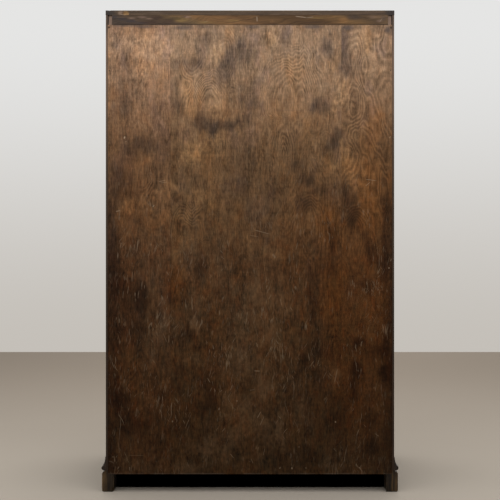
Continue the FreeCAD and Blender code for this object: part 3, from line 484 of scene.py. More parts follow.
RED_PATCHES = (
    (362, 300, 26, 90, 0.6), (375, 190, 16, 40, 0.5), (345, 350, 30, 60, 0.3), (358, 415, 26, 40, 0.12),
    (312, 240, 24, 50, 0.35), (331, 290, 9, 36, 0.4), (385, 320, 6, 40, 0.4),
    (176, 285, 8, 18, 0.8), (130, 190, 14, 40, 0.35), (210, 350, 14, 30, 0.45),
    (150, 420, 30, 40, 0.3), (286, 300, 16, 60, 0.15), (124, 330, 10, 60, 0.4), (248, 262, 10, 30, 0.1),
    (376, 122, 6, 14, 0.4), (368, 142, 6, 10, 0.3), (140, 65, 12, 5, 0.2), (330, 225, 10, 14, 0.4),
)
FIGURE_HILLS = (
    (192, 56, 13, 8, 30, 0.8), (212, 116, 34, 44, 8, 1.4), (191, 234, 20, 30, 16, 1.2),
    (286, 176, 16, 64, 60, 1.2), (293, 112, 38, 70, 10, 1.6), (134, 60, 16, 24, 34, 0.5),
    (320, 150, 12, 18, 30, 0.6), (250, 262, 18, 40, 70, 0.6), (150, 205, 14, 24, 36, 0.6),
    (228, 48, 12, 22, 40, 0.6), (310, 214, 14, 24, 44, 0.6), (215, 330, 16, 30, 60, 0.6),
    (340, 360, 18, 40, 40, 0.7), (140, 380, 16, 34, 60, 0.6),
    (352, 56, 12, 30, 18, 0.35), (364, 72, 12, 24, 34, -0.3), (380, 58, 14, 34, 40, 0.3),
    (388, 96, 12, 34, 24, -0.3), (356, 100, 12, 24, 36, 0.4), (372, 116, 12, 30, 20, 0.3),
    (384, 136, 12, 18, 36, 0.3), (360, 140, 12, 30, 18, -0.3), (350, 160, 10, 20, 34, 0.35),
    (370, 172, 12, 20, 36, 0.35), (386, 190, 10, 30, 24, -0.3), (352, 232, 18, 30, 50, 0.8),
)
FIGURED = (
    (192, 72, 12, 11, 0.7), (198, 94, 16, 11, 0.9), (191, 222, 14, 14, 1), (287, 134, 14, 24, 0.8),
    (294, 76, 20, 22, 0.7), (366, 100, 18, 60, 0.8), (372, 40, 20, 24, 0.6), (134, 56, 14, 20, 0.25),
    (366, 160, 22, 40, 0.7), (352, 210, 40, 50, 0.4), (312, 214, 14, 24, 0.4), (150, 200, 22, 24, 0.4),
    (165, 185, 12, 8, 0.6), (228, 50, 14, 24, 0.4), (330, 330, 50, 90, 0.35), (150, 330, 30, 60, 0.3),
)
BACK_MARKS = (
    (124.5, 137.5, 1.3, 0.9, 20, 1), (126, 141.5, 1.2, 0.6, 60, 0.35), (153.5, 206, 1.3, 0.8, 40, 0.65),
    (118, 211, 2.6, 1, 75, 0.35), (389, 268, 0.9, 0.7, 0, 0.7), (391, 260, 1.6, 0.5, 10, 0.5),
    (162, 181, 4, 0.5, 80, 0.4), (164, 182.5, 3.5, 0.4, 84, 0.35), (371, 180, 6, 0.45, 97, 0.45),
    (368, 184, 3.5, 0.45, 50, 0.4), (262, 232, 9, 0.5, -75, 0.4), (254, 236, 5, 0.4, -80, 0.3),
    (257, 371, 3.2, 0.5, 92, 0.75), (252, 390, 2.6, 0.5, 80, 0.3), (264, 362, 4, 0.4, 6, 0.35),
    (336, 376, 8, 0.5, 12, 0.4), (338, 384, 4, 0.4, -20, 0.3), (259, 415, 4, 0.5, 28, 0.55),
    (262, 421, 5.5, 0.4, 24, 0.45), (219, 409, 1.5, 0.7, 10, 0.6), (220, 414, 3, 0.4, 0, 0.35),
    (172.5, 421.5, 1, 0.9, 0, 0.6), (335.5, 422, 1, 0.9, 0, 0.7), (292, 468.3, 1.1, 1, 0, 0.7),
    (280, 468, 1.2, 0.8, 30, 0.45), (306, 468, 0.9, 0.8, 0, 0.35), (237, 401, 0.9, 0.7, 0, 0.55),
    (377, 435, 3, 0.4, -55, 0.4), (335, 450, 2.5, 0.4, -45, 0.3), (299, 447, 0.8, 0.7, 0, 0.35),
    (149, 330, 6, 0.4, 4, 0.4), (165, 338, 5, 0.4, -22, 0.35), (128, 290, 4.5, 0.5, 8, 0.35),
    (123, 295, 3.5, 0.4, 4, 0.35), (281, 302, 4, 0.45, -10, 0.4), (265, 315, 5, 0.4, -5, 0.35),
    (306, 285, 4, 0.5, 4, 0.3), (270, 297, 3, 0.5, 30, 0.35), (274, 256, 3, 1.5, -35, 0.25),
    (232, 456, 3, 0.4, -40, 0.4), (264, 452, 4, 0.4, 12, 0.35), (252, 461, 3, 0.4, -25, 0.35),
    (242, 470, 2, 0.4, 20, 0.25), (195, 315, 5, 0.4, 20, 0.3), (132, 325, 4, 0.4, -10, 0.3),
    (113, 457, 1.5, 0.5, 90, 0.35), (136, 455.5, 9, 0.25, 91, 0.3), (390, 137, 1.4, 0.6, 70, 0.5),
)
# Grey smudges of dust, most of them in a band just under the rail, where they are also painted shadow from
# the rail.
DUST_AND_SHADOW_ROWS = (
    (126, 25.4, 16, 1.8, 0.8), (145, 26.4, 12, 2.6, 0.9), (183, 27.4, 12, 3.6, 1), (205, 26.4, 9, 2.6, 0.6),
    (254, 26.6, 9, 2.6, 0.8), (313, 26.6, 13, 3, 1), (348, 27.6, 7, 3.6, 1), (388, 29.5, 5, 5, 0.9),
    (171, 33, 6, 8, 0.4), (289, 110.2, 26, 0.8, 0.25),
)
RUSTED_PINS = ((108.9, 27.2, 1.3, 1.6, 1), (391.2, 27.5, 1.3, 1.7, 1))
SHEET_SHIFT = 3.7
FIGURE_LINES = 60
LOW_DOWN = (1.25, 0.55)
BOTTOM_EDGE = (0.0735, 0.0695)
SHEET_TINTS = ((0, (1, 0.985, 1, 1)), (0.25, (0.975, 1, 1, 1)), (0.75, (0.99, 1, 1, 1)))
# Tones up the back panel, foot to top: its stain, darker towards the floor, with painted light in them. The
# top is made lighter and greyer as painted overhead light and sheen, and the foot darker as painted shade.
PANEL_STAIN_AND_PAINTED_LIGHT = tones(
    (0.05, 50, 33, 17), (0.19, 58, 38, 20), (0.32, 65, 45, 27), (0.46, 75, 52, 33), (0.59, 92, 67, 45),
    (0.73, 107, 81, 58), (0.8, 127, 97, 72), (0.87, 141, 112, 88), (0.94, 146, 118, 95), (1, 142, 115, 93),
)
WARMER = (1.06, 1, 0.9, 1)
COOLER = (0.95, 0.96, 1.08, 1)
RED_FLECK = (1.1, 0.95, 0.86, 1)
GREY_FLECK = (0.9, 1.01, 1.12, 1)
REDDENED = (1.18, 0.9, 0.58, 1)
PALER_ABOVE = (1.65, 1.65, 1.55, 1)
PALER_BELOW = (1.25, 1.25, 1.25, 1)
SOOT_ABOVE = (0.42, 0.45, 0.54, 1)
SOOT_BELOW = (0.37, 0.32, 0.3, 1)
OPEN_PORES = (0.35, 0.33, 0.32, 1)
LEANING_SCRATCHES = (
    (4, (330, 1, 19), 0.675, 0), (26, (300, 1, 24), 0.715, 3.1), (-31, (300, 1, 28), 0.715, 5.7),
)


def veneer_sheets(f, x):
    """Which of the three veneers a place lies on, as 0, 1 or 2, and how close it is to a seam."""
    first, second = (back_x(column) for column in SEAM_COLUMNS)
    sheet = f.add(f.maths("LESS_THAN", x, first), f.maths("LESS_THAN", x, second))
    return sheet, f.lowest(f.unsigned(f.minus(x, first)), f.unsigned(f.minus(x, second)))


def seam_shades(f, x, z):
    """Dark stains that stop sharply at a seam: column, top row, bottom row, fade to the right, strength."""
    shade = 0
    for column, top, bottom, fade, strength in SEAM_STAINS:
        across = f.times(f.minus(back_x(column), x), 1 / (fade * PIXEL))
        stain = f.times(f.span(across, 1, 0.1), f.span(across, -0.04, 0.04))
        middle, reach = back_z((top + bottom) / 2), (bottom - top) / 2 * PIXEL
        stain = f.times(stain, f.span(f.unsigned(f.minus(z, middle)), reach * 1.1, reach * 0.7))
        shade = f.highest(f.times(stain, strength), shade)
    return shade


def contour_figure(f, place):
    """The lines that a knife leaves where it cuts through bumps in the growth rings."""
    slope = f.times(f.noise(place, (6, 1, 1.4), detail=3), 2.6)
    height = f.add(slope, f.painted("rise"))
    wobble = f.times(f.noise(place, (40, 40, 22), detail=4), 0.1)
    wave = f.maths("SINE", f.times(f.add(height, wobble), FIGURE_LINES))
    return f.minus(f.span(wave, 0.1, 1), f.times(f.span(wave, -0.1, -1), 0.6))


def random_scratches(f, place, lean, stretch, least, seed):
    """Many short light scratches that lean one way."""
    turned = f.node("ShaderNodeMapping", vector_type="POINT")
    turned.inputs["Rotation"].default_value = (0, math.radians(lean), 0)
    turned.inputs["Location"].default_value = (seed, 0, seed * 0.7)
    f.feed(turned.inputs["Vector"], place)
    return f.span(f.noise(turned.outputs[0], stretch, detail=1, rough=0.4), least, least + 0.06)


class BackSpot:
    """A place on the back: its sheet of veneer, its height and the grain there."""

    def __init__(self, f):
        self.pattern = f
        self.place = f.flattened(f.place())
        self.x, _, self.z = f.axes(self.place)
        self.sheet, self.seam_gap = veneer_sheets(f, self.x)
        self.veneer = f.vector("ADD", self.place, f.joined(0, f.times(self.sheet, SHEET_SHIFT), 0))
        self.low = f.span(self.z, *LOW_DOWN)
        self.lines = contour_figure(f, self.veneer)
        self.cloud = self.grain(11, 5.5, detail=5)
        self.mottle = self.grain(36, 22, detail=6, rough=0.64)
        self.speckle = self.grain(90, 62, detail=5, rough=0.65)
        self.fibres = self.grain(170, 14, rough=0.65)
        self.fine = self.grain(430, 60, detail=2)
        self.ragged = f.uneven(self.place, (85, 1, 9), detail=4)
        side = f.summed(f.unsigned(self.x), (self.ragged, 0.05))
        self.edge = f.times(f.span(side, 0.478, 0.53), f.span(self.z, 1.35, 0.95))

    def grain(self, across, up, detail=4, rough=0.6):
        """Unevenness of the veneer, from its lumps a metre across and up."""
        return self.pattern.uneven(self.veneer, (across, 1, up), detail, rough)


def grain_light(f, at):
    """How light the grain is, 1 on average: its figure, streaks and mottling, and its small fibres."""
    open_figure = f.lowest(f.painted("figured"), 1)
    patchy = f.span(f.uneven(at.place, (6, 1, 4)), -0.12, 0.12, 0.05, 0.15)
    streaks = at.grain(44, 3.6)
    wiped = at.grain(24, 120)
    light = f.summed(1, (at.lines, f.summed(patchy, (open_figure, 0.24))), (streaks, 0.65),
                     (at.mottle, 1.35), (at.cloud, 1), (wiped, 0.6))
    small = f.summed(f.times(at.speckle, 1.2), (at.fine, 2.1), (at.fibres, 1.3))
    small = f.highest(small, f.times(small, 0.62))
    calmed = f.times(small, f.summed(1, (open_figure, -0.35)))
    light = f.summed(light, (calmed, f.summed(1, (at.low, 0.34))))
    last_sheet = f.span(at.x, back_x(341), back_x(343))
    light = f.times(light, f.summed(1, (last_sheet, f.span(at.z, 0.9, 1.5, 0, -0.12))))
    return f.highest(light, 0.25)


def hued(f, at, colour):
    """Warmer and cooler areas, with small reddish and greyish flecks."""
    warmth = at.grain(15, 6.5, detail=5)
    flecks = f.summed(at.grain(46, 24), (warmth, 0.3))
    strength = f.summed(0.35, (at.low, 0.65))
    colour = f.tinted(colour, WARMER, f.span(warmth, 0.02, 0.17))
    colour = f.tinted(colour, COOLER, f.span(warmth, -0.02, -0.17))
    colour = f.tinted(colour, RED_FLECK, f.times(f.span(flecks, 0.03, 0.15), strength))
    return f.tinted(colour, GREY_FLECK, f.times(f.span(flecks, -0.03, -0.15), strength))


def smoked(f, at, colour):
    """The paler, redder and smoky areas that are painted on the back, with ragged ends."""
    drift = f.areas(at.place, (13, 1, 7), 0.52, 0.74, detail=4, rough=0.6)
    broken = f.summed(f.times(at.mottle, 0.7), (at.ragged, 0.45))
    smoke = f.span(f.add(f.painted("smoke"), f.summed(broken, (drift, 0.3))), 0.05, 0.88)
    seams = seam_shades(f, at.x, f.summed(at.z, (at.ragged, 0.05)))
    smoke = f.highest(smoke, f.times(at.edge, 0.8), seams)
    pale = f.span(f.add(f.painted("pale"), f.summed(broken, (at.speckle, 0.8))), 0.02, 0.9)
    dusty = f.mix(0.42, f.tinted(colour, PALER_BELOW), tone(98, 76, 55))
    colour = f.mix(pale, colour, f.mix(at.low, f.tinted(colour, PALER_ABOVE), dusty))
    colour = f.tinted(colour, REDDENED, f.lowest(f.painted("red"), 1))
    return f.tinted(colour, f.mix(at.low, SOOT_ABOVE, SOOT_BELOW), smoke)


def worn_places(f, at, colour, dust):
    """Pores, seams, dust and painted shadow under the rail, rusted pins and the rubbed bottom edge."""
    pores = f.areas(at.veneer, (700, 1, 40), 0.62, 0.72, detail=1)
    colour = f.tinted(colour, OPEN_PORES, f.times(pores, 0.4))
    broken = f.areas(at.place, (1, 1, 3.2), 0.42, 0.6)
    colour = f.laid(colour, tone(22, 16, 12), f.span(at.seam_gap, 0.0011, 0.0004), broken, 0.55)
    # Dust under the rail, darkened there also as painted shadow from the rail.
    colour = f.laid(colour, tone(84, 76, 75), dust, 0.7)
    colour = f.laid(colour, tone(40, 28, 22), back_patches(f, at.place, RUSTED_PINS), 0.8)
    bottom = f.span(at.z, *BOTTOM_EDGE)
    rubbed = f.areas(at.place, (14, 1, 1), 0.36, 0.6, detail=3)
    return f.laid(colour, tone(72, 62, 53), bottom, rubbed, 0.5)


def scuffs(f, at):
    """Light scuffs, rubbed fibres and the photographed marks."""
    strayed = f.strayed(at.place, (9, 1, 9), 0.05)
    light = 0
    for scratches in LEANING_SCRATCHES:
        light = f.highest(random_scratches(f, strayed, *scratches), light)
    worn_areas = f.areas(at.place, (6, 1, 5), 0.41, 0.66, detail=4)
    light = f.times(light, worn_areas, f.summed(0.12, (at.low, 0.48)))
    rubbed = random_scratches(f, strayed, 3, (230, 1, 34), 0.62, 9.3)
    clusters = f.areas(at.place, (26, 1, 16), 0.5, 0.66)
    bottom = f.span(at.z, back_z(410), back_z(330), 0.4, 1)
    rubbed = f.times(rubbed, clusters, f.summed(0.1, (at.low, 0.3)), bottom)
    light = f.times(f.highest(light, rubbed), f.summed(1, (at.edge, -0.8)))
    return f.highest(light, f.times(back_marks(f, at.place, BACK_MARKS), 0.9))


def panel_height(f, z):
    """How far up the back panel a height lies, from 0 to 1."""
    return f.maths("DIVIDE", f.minus(z, PANEL_FOOT), PANEL_HEIGHT, clamp=True)


def stained_plywood():
    """Rotary-cut plywood under a smoky brown stain, scuffed and scratched, darker towards the floor by its
    stain and by painted shade, lighter and greyer at the top by painted light and painted sheen.
    """
    f = Finish("stained_plywood", Specular_IOR_Level=0.06)
    at = BackSpot(f)
    # The ramp carries painted light: lighter towards the top and darker towards the floor.
    colour = f.level(f.ramp(panel_height(f, at.z), *PANEL_STAIN_AND_PAINTED_LIGHT), grain_light(f, at))
    colour = f.tinted(colour, f.ramp(f.times(at.sheet, 0.5), *SHEET_TINTS, kind="CONSTANT"))
    # Dust and painted shadow under the rail; the same mask also roughens the finish.
    dust = back_patches(f, at.place, DUST_AND_SHADOW_ROWS)
    colour = worn_places(f, at, smoked(f, at, hued(f, at, colour)), dust)
    scuffed = f.mix(at.low, tone(205, 182, 156), tone(160, 140, 116))
    f.colour(f.laid(colour, scuffed, scuffs(f, at), 0.6))
    f.roughness(f.summed(f.span(at.cloud, -0.3, 0.3, 0.46, 0.6), (dust, 0.2)))
    f.relief(f.summed(f.times(at.fibres, 0.6), (at.fine, 0.4), (at.lines, 0.08)), 0.0006, 0.6)
    return f.material


# Solid timber

ALONG = {"x": 0, "y": 1, "z": 2}
DARK_PORES = (0.32, 0.3, 0.28, 1)
SLOPE_DARKENING = (0.45, 0.43, 0.42, 1)
SETTLED_DUST = tone(150, 140, 128)
END_GRIME = (0.485, 0.525)
END_REACH = (0.2, 0.26)
REAR_EDGE = (0.262, 0.266)
FOOT_REAR = 0.285
# A foot's outer faces are rubbed paler; its inner faces and shoulder get painted shade.
FOOT_RUB_AND_SHADE = (0.516, 0.54)
FOOT_SHOULDER = (0.08, 0.055)
LIP_FACE = (0.2682, 0.2694)
REBATE_FACE = (0.2625, 0.2632)
REBATE_START = (1.729, 1.731)
# The groove beside each lip holds a painted shadow.
REBATE_GROOVE_SHADOW = (0.5268, 0.5262)
REBATE_FLOOR = (0.5242, 0.5232)


OAK = (tone(28, 18, 11), tone(58, 38, 23), tone(92, 62, 38), tone(132, 94, 60))
OAK_PANEL = (tone(32, 21, 13), tone(66, 44, 27), tone(104, 72, 45), tone(132, 94, 60))
INSIDE = (tone(104, 78, 52), tone(142, 112, 80), tone(172, 142, 106), tone(186, 158, 122))
TOP = (tone(48, 38, 30), tone(75, 60, 48), tone(102, 84, 67), tone(150, 114, 76))
FOOT = (tone(20, 13, 8), tone(54, 41, 26), tone(92, 72, 45), tone(112, 90, 62))
# The mouldings' wood: a dark stain, made darker still as painted shade for their shadowed ends.
MOULDING_WITH_PAINTED_SHADE = (tone(15, 11, 9), tone(34, 25, 19), tone(60, 46, 36), tone(84, 66, 50))
BEECH = (tone(168, 138, 102), tone(190, 162, 124), tone(208, 182, 146), tone(214, 190, 156))


def stretched(along, across_count, along_count):
    """Counts a metre for noise whose lumps lie along one axis."""
    return tuple(along_count if index == ALONG[along] else across_count for index in range(3))


def timber(name, along, deep, middle, pale, bare, ring_lines=34, polish=0.46, wear=0.6, dust=0,
           shift=0, contrast=0.85, marks_and_shade=None):
    """Stained solid wood with its fibres along one axis, worn to a barer colour at its corners."""
    f = Finish(name, Specular_IOR_Level=0.2)
    place = f.vector("ADD", f.place(), (shift, shift * 0.6, shift * 1.3))
    bent = f.strayed(place, stretched(along, 6, 1.5), 0.02)
    growth = f.noise(bent, stretched(along, 11, 0.8), detail=1.5, rough=0.45)
    rings = f.maths("SINE", f.times(growth, ring_lines))
    broad = f.uneven(bent, stretched(along, 38, 1.6))
    fibres = f.uneven(bent, stretched(along, 210, 7))
    fine = f.uneven(bent, stretched(along, 640, 24), detail=2)
    cloud = f.uneven(place, stretched(along, 5, 2.5), rough=0.5)
    value = 0.5
    for part, share in ((rings, 0.12), (broad, 0.7), (fibres, 0.9), (fine, 0.7), (cloud, 0.6)):
        value = f.summed(value, (part, share * contrast))
    colour = f.ramp(value, (0.12, deep), (0.5, middle), (0.9, pale))
    pores = f.areas(bent, stretched(along, 1000, 48), 0.62, 0.72, detail=1)
    colour = f.tinted(colour, DARK_PORES, f.times(pores, 0.7))
    patchy = f.areas(place, (45, 45, 45), 0.44, 0.62, detail=4, rough=0.65)
    colour = f.laid(colour, bare, f.near_corner(0.004), patchy, wear)
    if dust:
        loose = f.areas(place, (4, 4, 4), 0.2, 0.85, detail=6, rough=0.6)
        colour = f.laid(colour, SETTLED_DUST, f.facing_up(), loose, dust)
    # Extra colour for some pieces: marks and wear, and painted shade on some of them.
    if marks_and_shade:
        colour = marks_and_shade(f, colour)
    f.colour(colour)
    f.roughness(f.add(polish, f.summed(f.times(cloud, 0.25), (pores, 0.15))))
    grain = f.summed(f.times(fibres, 0.5), (fine, 0.4))
    f.relief(f.minus(grain, f.times(pores, 0.35)), 0.0006, 0.55)
    return f.material


def shaded_slopes(f, colour):
    """Darker sloping margins of a fielded panel, wherever its face tilts away from straight on."""
    normal = f.node("ShaderNodeNewGeometry").outputs["True Normal"]
    slope = f.span(f.unsigned(f.axes(normal)[1]), 0.9998, 0.9985)
    return f.tinted(colour, SLOPE_DARKENING, f.times(slope, 0.55))


CHIPPED = (
    (((125.8, 13.4, 3.6, 2.6, 1.3), (127.5, 14.6, 1.8, 1.6, 0.8)), 0.7, tone(150, 116, 74)),
    (((120.5, 13, 3.2, 2.4, 1.2), (276, 14.2, 7, 0.9, 0.3), (157, 12.8, 9, 0.8, 0.3)), 0.6,
     tone(136, 114, 98)),
)


def weathered_ends(f, colour):
    """The top board's blackened ends and the bare chip on its rear edge."""
    place = f.place()
    x, y, _ = f.axes(place)
    out = f.summed(f.unsigned(x), (f.uneven(place, (30, 30, 30)), 0.05))
    colour = f.laid(colour, tone(40, 38, 40), f.span(out, *END_GRIME), f.span(y, *END_REACH), 0.8)
    flat, rear = f.flattened(place), f.span(y, *REAR_EDGE)
    for patches, full, shade in CHIPPED:
        colour = f.laid(colour, shade, back_patches(f, flat, patches), rear, full)
    return colour


def rubbed_and_shaded_foot(f, colour):
    """Feet paler on their outer halves, rubbed there and painted as lit, and darker inside and at the
    shoulder under the moulding as painted shade.
    """
    place = f.place()
    x, y, z = f.axes(place)
    out = f.highest(f.unsigned(x), f.minus(FOOT_REAR, y))
    out = f.summed(out, (f.uneven(place, (70, 70, 8)), 0.03))
    # Painted shade: the inner halves and the shoulder are darkened, and the outer halves lighter.
    share = f.times(f.span(out, *FOOT_RUB_AND_SHADE), f.span(z, *FOOT_SHOULDER, 0.35, 1))
    return f.level(colour, f.summed(0.52, (share, 0.62)))


LIP_TONES = tones(
    (0.05, 40, 28, 19), (0.15, 42, 29, 19), (0.36, 44, 33, 25), (0.52, 62, 50, 40), (0.66, 66, 53, 43),
    (0.76, 86, 69, 56), (0.84, 108, 89, 75), (0.96, 114, 95, 83), (1, 86, 73, 64),
)


def lips_rebate_and_groove_shadow(f, colour):
    """The rear edges of the sides, paler towards the top, with bare wood in the rebate over the panel and a
    painted shadow in the groove beside each lip.
    """
    place = f.place()
    x, y, z = f.axes(place)
    out = f.unsigned(x)
    patchy = f.add(1, f.uneven(place, (60, 60, 14), detail=4))
    lips = f.level(f.ramp(panel_height(f, z), *LIP_TONES), patchy)
    colour = f.laid(colour, lips, f.span(y, *LIP_FACE), 0.85)
    rebate = f.times(f.span(y, *REBATE_FACE), f.span(z, *REBATE_START))
    # Painted shadow in the groove beside the lip, over the rebate.
    colour = f.laid(colour, tone(30, 21, 16), f.span(out, *REBATE_GROOVE_SHADOW), rebate)
    streaked = f.summed(1, (f.uneven(place, (240, 1, 30)), 0.9))
    bare = f.level(tone(140, 117, 103), streaked)
    return f.laid(colour, bare, f.span(out, *REBATE_FLOOR), rebate, 0.95)


RAIL_TONES = tones(
    (0, 72, 60, 52), (0.1, 75, 60, 48), (0.17, 72, 57, 45), (0.25, 104, 83, 58), (0.34, 112, 83, 53),
    (0.45, 104, 76, 50), (0.55, 92, 68, 44), (0.63, 76, 56, 36), (0.72, 80, 58, 37), (0.83, 103, 78, 50),
    (0.9, 84, 66, 48), (1, 96, 76, 57),
)
RAIL_MARKS = (
    (257, 19, 3, 0.8, -4, 0.5), (301, 16.9, 6.5, 0.6, 97, 0.6), (310, 17.4, 4, 0.5, 82, 0.5),
    (206, 21.5, 2.5, 0.3, 80, 0.25), (381, 20, 2.4, 0.5, 40, 0.3),
)
RAIL_PATCHES = (
    (((114, 17, 5, 2.6, 1), (122, 19, 6, 2.2, 1), (131, 21.2, 7, 2, 1), (142, 23, 8, 1.5, 0.9),
      (353, 17.5, 9, 3, 0.6), (383, 18, 4, 4, 0.5)), tone(58, 52, 54)),
    (((157, 17.5, 8, 3.6, 0.9), (150, 22.5, 12, 1.8, 0.8), (168, 22, 6, 3, 0.5),
      (315, 22.5, 14, 1.4, 0.5)), tone(62, 45, 38)),
    (((131, 18.2, 5, 1.2, 0.8), (141, 17.2, 6, 1.4, 0.9), (149, 18.8, 5, 1, 0.8), (187, 16.8, 6, 1.4, 0.8),
      (379, 21, 4, 1.6, 0.6), (372, 17, 5, 1.6, 0.3)), tone(124, 102, 90)),
    (((180, 20, 8, 3, 0.8), (206, 22.2, 10, 1.4, 0.6), (234, 20.6, 9, 2.2, 0.5),
      (317, 18, 9, 1.6, 0.5)), tone(126, 102, 62)),
    (((343, 20, 6, 3.2, 0.9), (222, 17.4, 16, 1.6, 0.4)), tone(130, 95, 60)),
)


def figured_rail():
    """Olive-brown rail with a slanting, wavy figure, dark at one end and by the scratch."""
    f = Finish("figured_rail", Specular_IOR_Level=0.15)
    place = f.place()
    x, y, z = f.axes(place)
    sway = f.uneven(place, (9, 9, 26), rough=0.5)
    slanted = f.summed(x, (f.minus(z, 1.75), -3.6), (sway, 0.16))
    bent = f.joined(slanted, y, f.summed(z, (sway, 0.02)))
    first, last = back_x(112), back_x(391)
    along = f.maths("DIVIDE", f.minus(first, slanted), first - last, clamp=True)
    flow = f.add(z, f.summed(f.times(x, 0.16), (sway, 0.06)))
    waves = f.maths("SINE", f.times(flow, 620))
    flowing = f.joined(x, y, flow)
    streaks = f.uneven(flowing, (5, 90, 170))
    fine = f.uneven(flowing, (26, 400, 560), detail=2, rough=0.5)
    cloud = f.uneven(bent, (14, 1, 30), rough=0.5)
    light = f.summed(1, (waves, 0.07), (streaks, 1.3), (fine, 0.4), (cloud, 0.9))
    colour = f.level(f.ramp(along, *RAIL_TONES), f.highest(light, 0.3))
    flat = f.flattened(place)
    strayed = f.vector("ADD", flat, f.joined(f.times(sway, 0.03), 0, f.times(streaks, 0.006)))
    for patches, shade in RAIL_PATCHES:
        colour = f.laid(colour, f.level(shade, light), back_patches(f, strayed, patches), 0.8)
    colour = f.laid(colour, tone(190, 174, 156), back_marks(f, flat, RAIL_MARKS), 0.6)
    # A dark line along the rail's lower edge: partly its joint with the panel, partly painted shadow from
    # the overhead light.
    lower, patchy = f.span(z, back_z(23.2), back_z(24.6)), f.areas(place, (9, 1, 1), 0.35, 0.6)
    colour = f.laid(colour, tone(34, 28, 24), lower, patchy, 0.5)
    f.colour(f.laid(colour, tone(60, 48, 36), f.near_corner(0.003), 0.35))
    f.roughness(f.summed(0.45, (cloud, 0.2)))
    f.relief(f.summed(f.times(streaks, 0.5), (fine, 0.4)), 0.0005, 0.5)
    return f.material


# Metals


def metal(name, deep, bright, rough, tarnish, tarnish_share):
    """A handled metal: brighter at its corners, tarnished in patches, with fine rubbing marks."""
    f = Finish(name, Metallic=1)
    place = f.place()
    patches = f.areas(place, (190, 190, 190), 0.4, 0.66, detail=5, rough=0.65)
    rubs = f.noise(place, (900, 900, 130), detail=2)
    colour = f.laid(f.laid(deep, bright, rubs, 0.5), tarnish, patches, tarnish_share)
    f.colour(f.laid(colour, bright, f.near_corner(0.0012), 0.7))
    f.roughness(f.summed(rough, (patches, 0.25)))
    f.relief(f.summed(f.times(rubs, 0.3), (patches, 0.4)), 0.00012, 0.5)
    return f.material


# Pieces

SLOT_OF = {part["node"]: part["material_slot"] for part in frame["record"]["subparts"]}
BODY_OF = {node: body for body, nodes in frame["record"]["behaviour"]["bodies"].items() for node in nodes}


def alone(piece):
    """Leaves one piece selected and active."""
    bpy.ops.object.select_all(action="DESELECT")
    piece.select_set(True)
    bpy.context.view_layer.objects.active = piece


def switch(mode):
    bpy.ops.object.mode_set(mode=mode)


def linked(name, data):
    """A new object in the scene, from its data."""
    made = bpy.data.objects.new(name, data)
    bpy.context.scene.collection.objects.link(made)
    return made


def apply_modifier(piece, kind, **settings):
    modifier = piece.modifiers.new(kind.lower(), kind)
    for name, value in settings.items():
        setattr(modifier, name, value)
    alone(piece)
    bpy.ops.object.modifier_apply(modifier=modifier.name)


def copied(node):
    """A copy of a CAD piece, with its loose triangles joined into whole faces."""
    piece = linked(f"{node}_worn", frame["nodes"][node].data.copy())
    alone(piece)
    switch("EDIT")
    bpy.ops.mesh.customdata_custom_splitnormals_clear()
    bpy.ops.mesh.select_all(action="SELECT")
    bpy.ops.mesh.remove_doubles(threshold=WELD)
    bpy.ops.mesh.dissolve_limited(angle_limit=FLAT_ANGLE)
    switch("OBJECT")
    return piece


def chipped(piece, chips):
    """Knocks blunt chips out of a piece's edges, each given by its middle, its reach and its turn."""
    for number, (middle, reach, turn) in enumerate(chips):
        bpy.ops.object.select_all(action="DESELECT")
        bpy.ops.mesh.primitive_ico_sphere_add(subdivisions=2, radius=1, location=middle, rotation=turn,
                                              scale=reach)
        cutter = bpy.context.object
        switch("EDIT")
        bpy.ops.mesh.select_all(action="SELECT")
        bpy.ops.transform.vertex_random(offset=CHIP_ROUGHNESS, seed=number)
        switch("OBJECT")
        apply_modifier(piece, "BOOLEAN", operation="DIFFERENCE", solver="EXACT", object=cutter)
        bpy.data.objects.remove(cutter)


def eased(piece, width, chips=()):
    """Rounds the sharp edges a little, knocks any chips out of them and shades the flats flat."""
    apply_modifier(piece, "BEVEL", width=width, segments=2, limit_method="ANGLE", angle_limit=SHARP_ANGLE,
                   use_clamp_overlap=True)
    if chips:
        chipped(piece, chips)
        alone(piece)
        bpy.ops.object.shade_smooth_by_angle(angle=CHIP_ANGLE)
    else:
        bpy.ops.object.shade_smooth()
    apply_modifier(piece, "WEIGHTED_NORMAL", weight=FLAT_WEIGHT, keep_sharp=bool(chips))


def placed(piece, node, material):
    """Gives a piece its finish and puts it in its CAD node's stead."""
    piece.data.materials.clear()
    piece.data.materials.append(material)
    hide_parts(node)
    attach(piece, BODY_OF[node])
    return piece


def finish_node(node, material):
    """Keeps a CAD node as it is, with a better finish."""
    for slot in frame["nodes"][node].material_slots:
        slot.material = material


def worn_board(node, material, width=EASED_EDGE, chips=()):
    """A wooden CAD piece with its edges eased and its corners knocked."""
    piece = copied(node)
    eased(piece, width, chips)
    return placed(piece, node, material)


# The wardrobe

SIDE_MARGIN = 0.0085
END_MARGIN = 0.0125
NET_STEP = 0.024
NET_CUTS = 3


def lines_between(low, high, step):
    """Places from low to high, about a step apart."""
    count = round((high - low) / step)
    return [low + (high - low) * number / count for number in range(count + 1)]


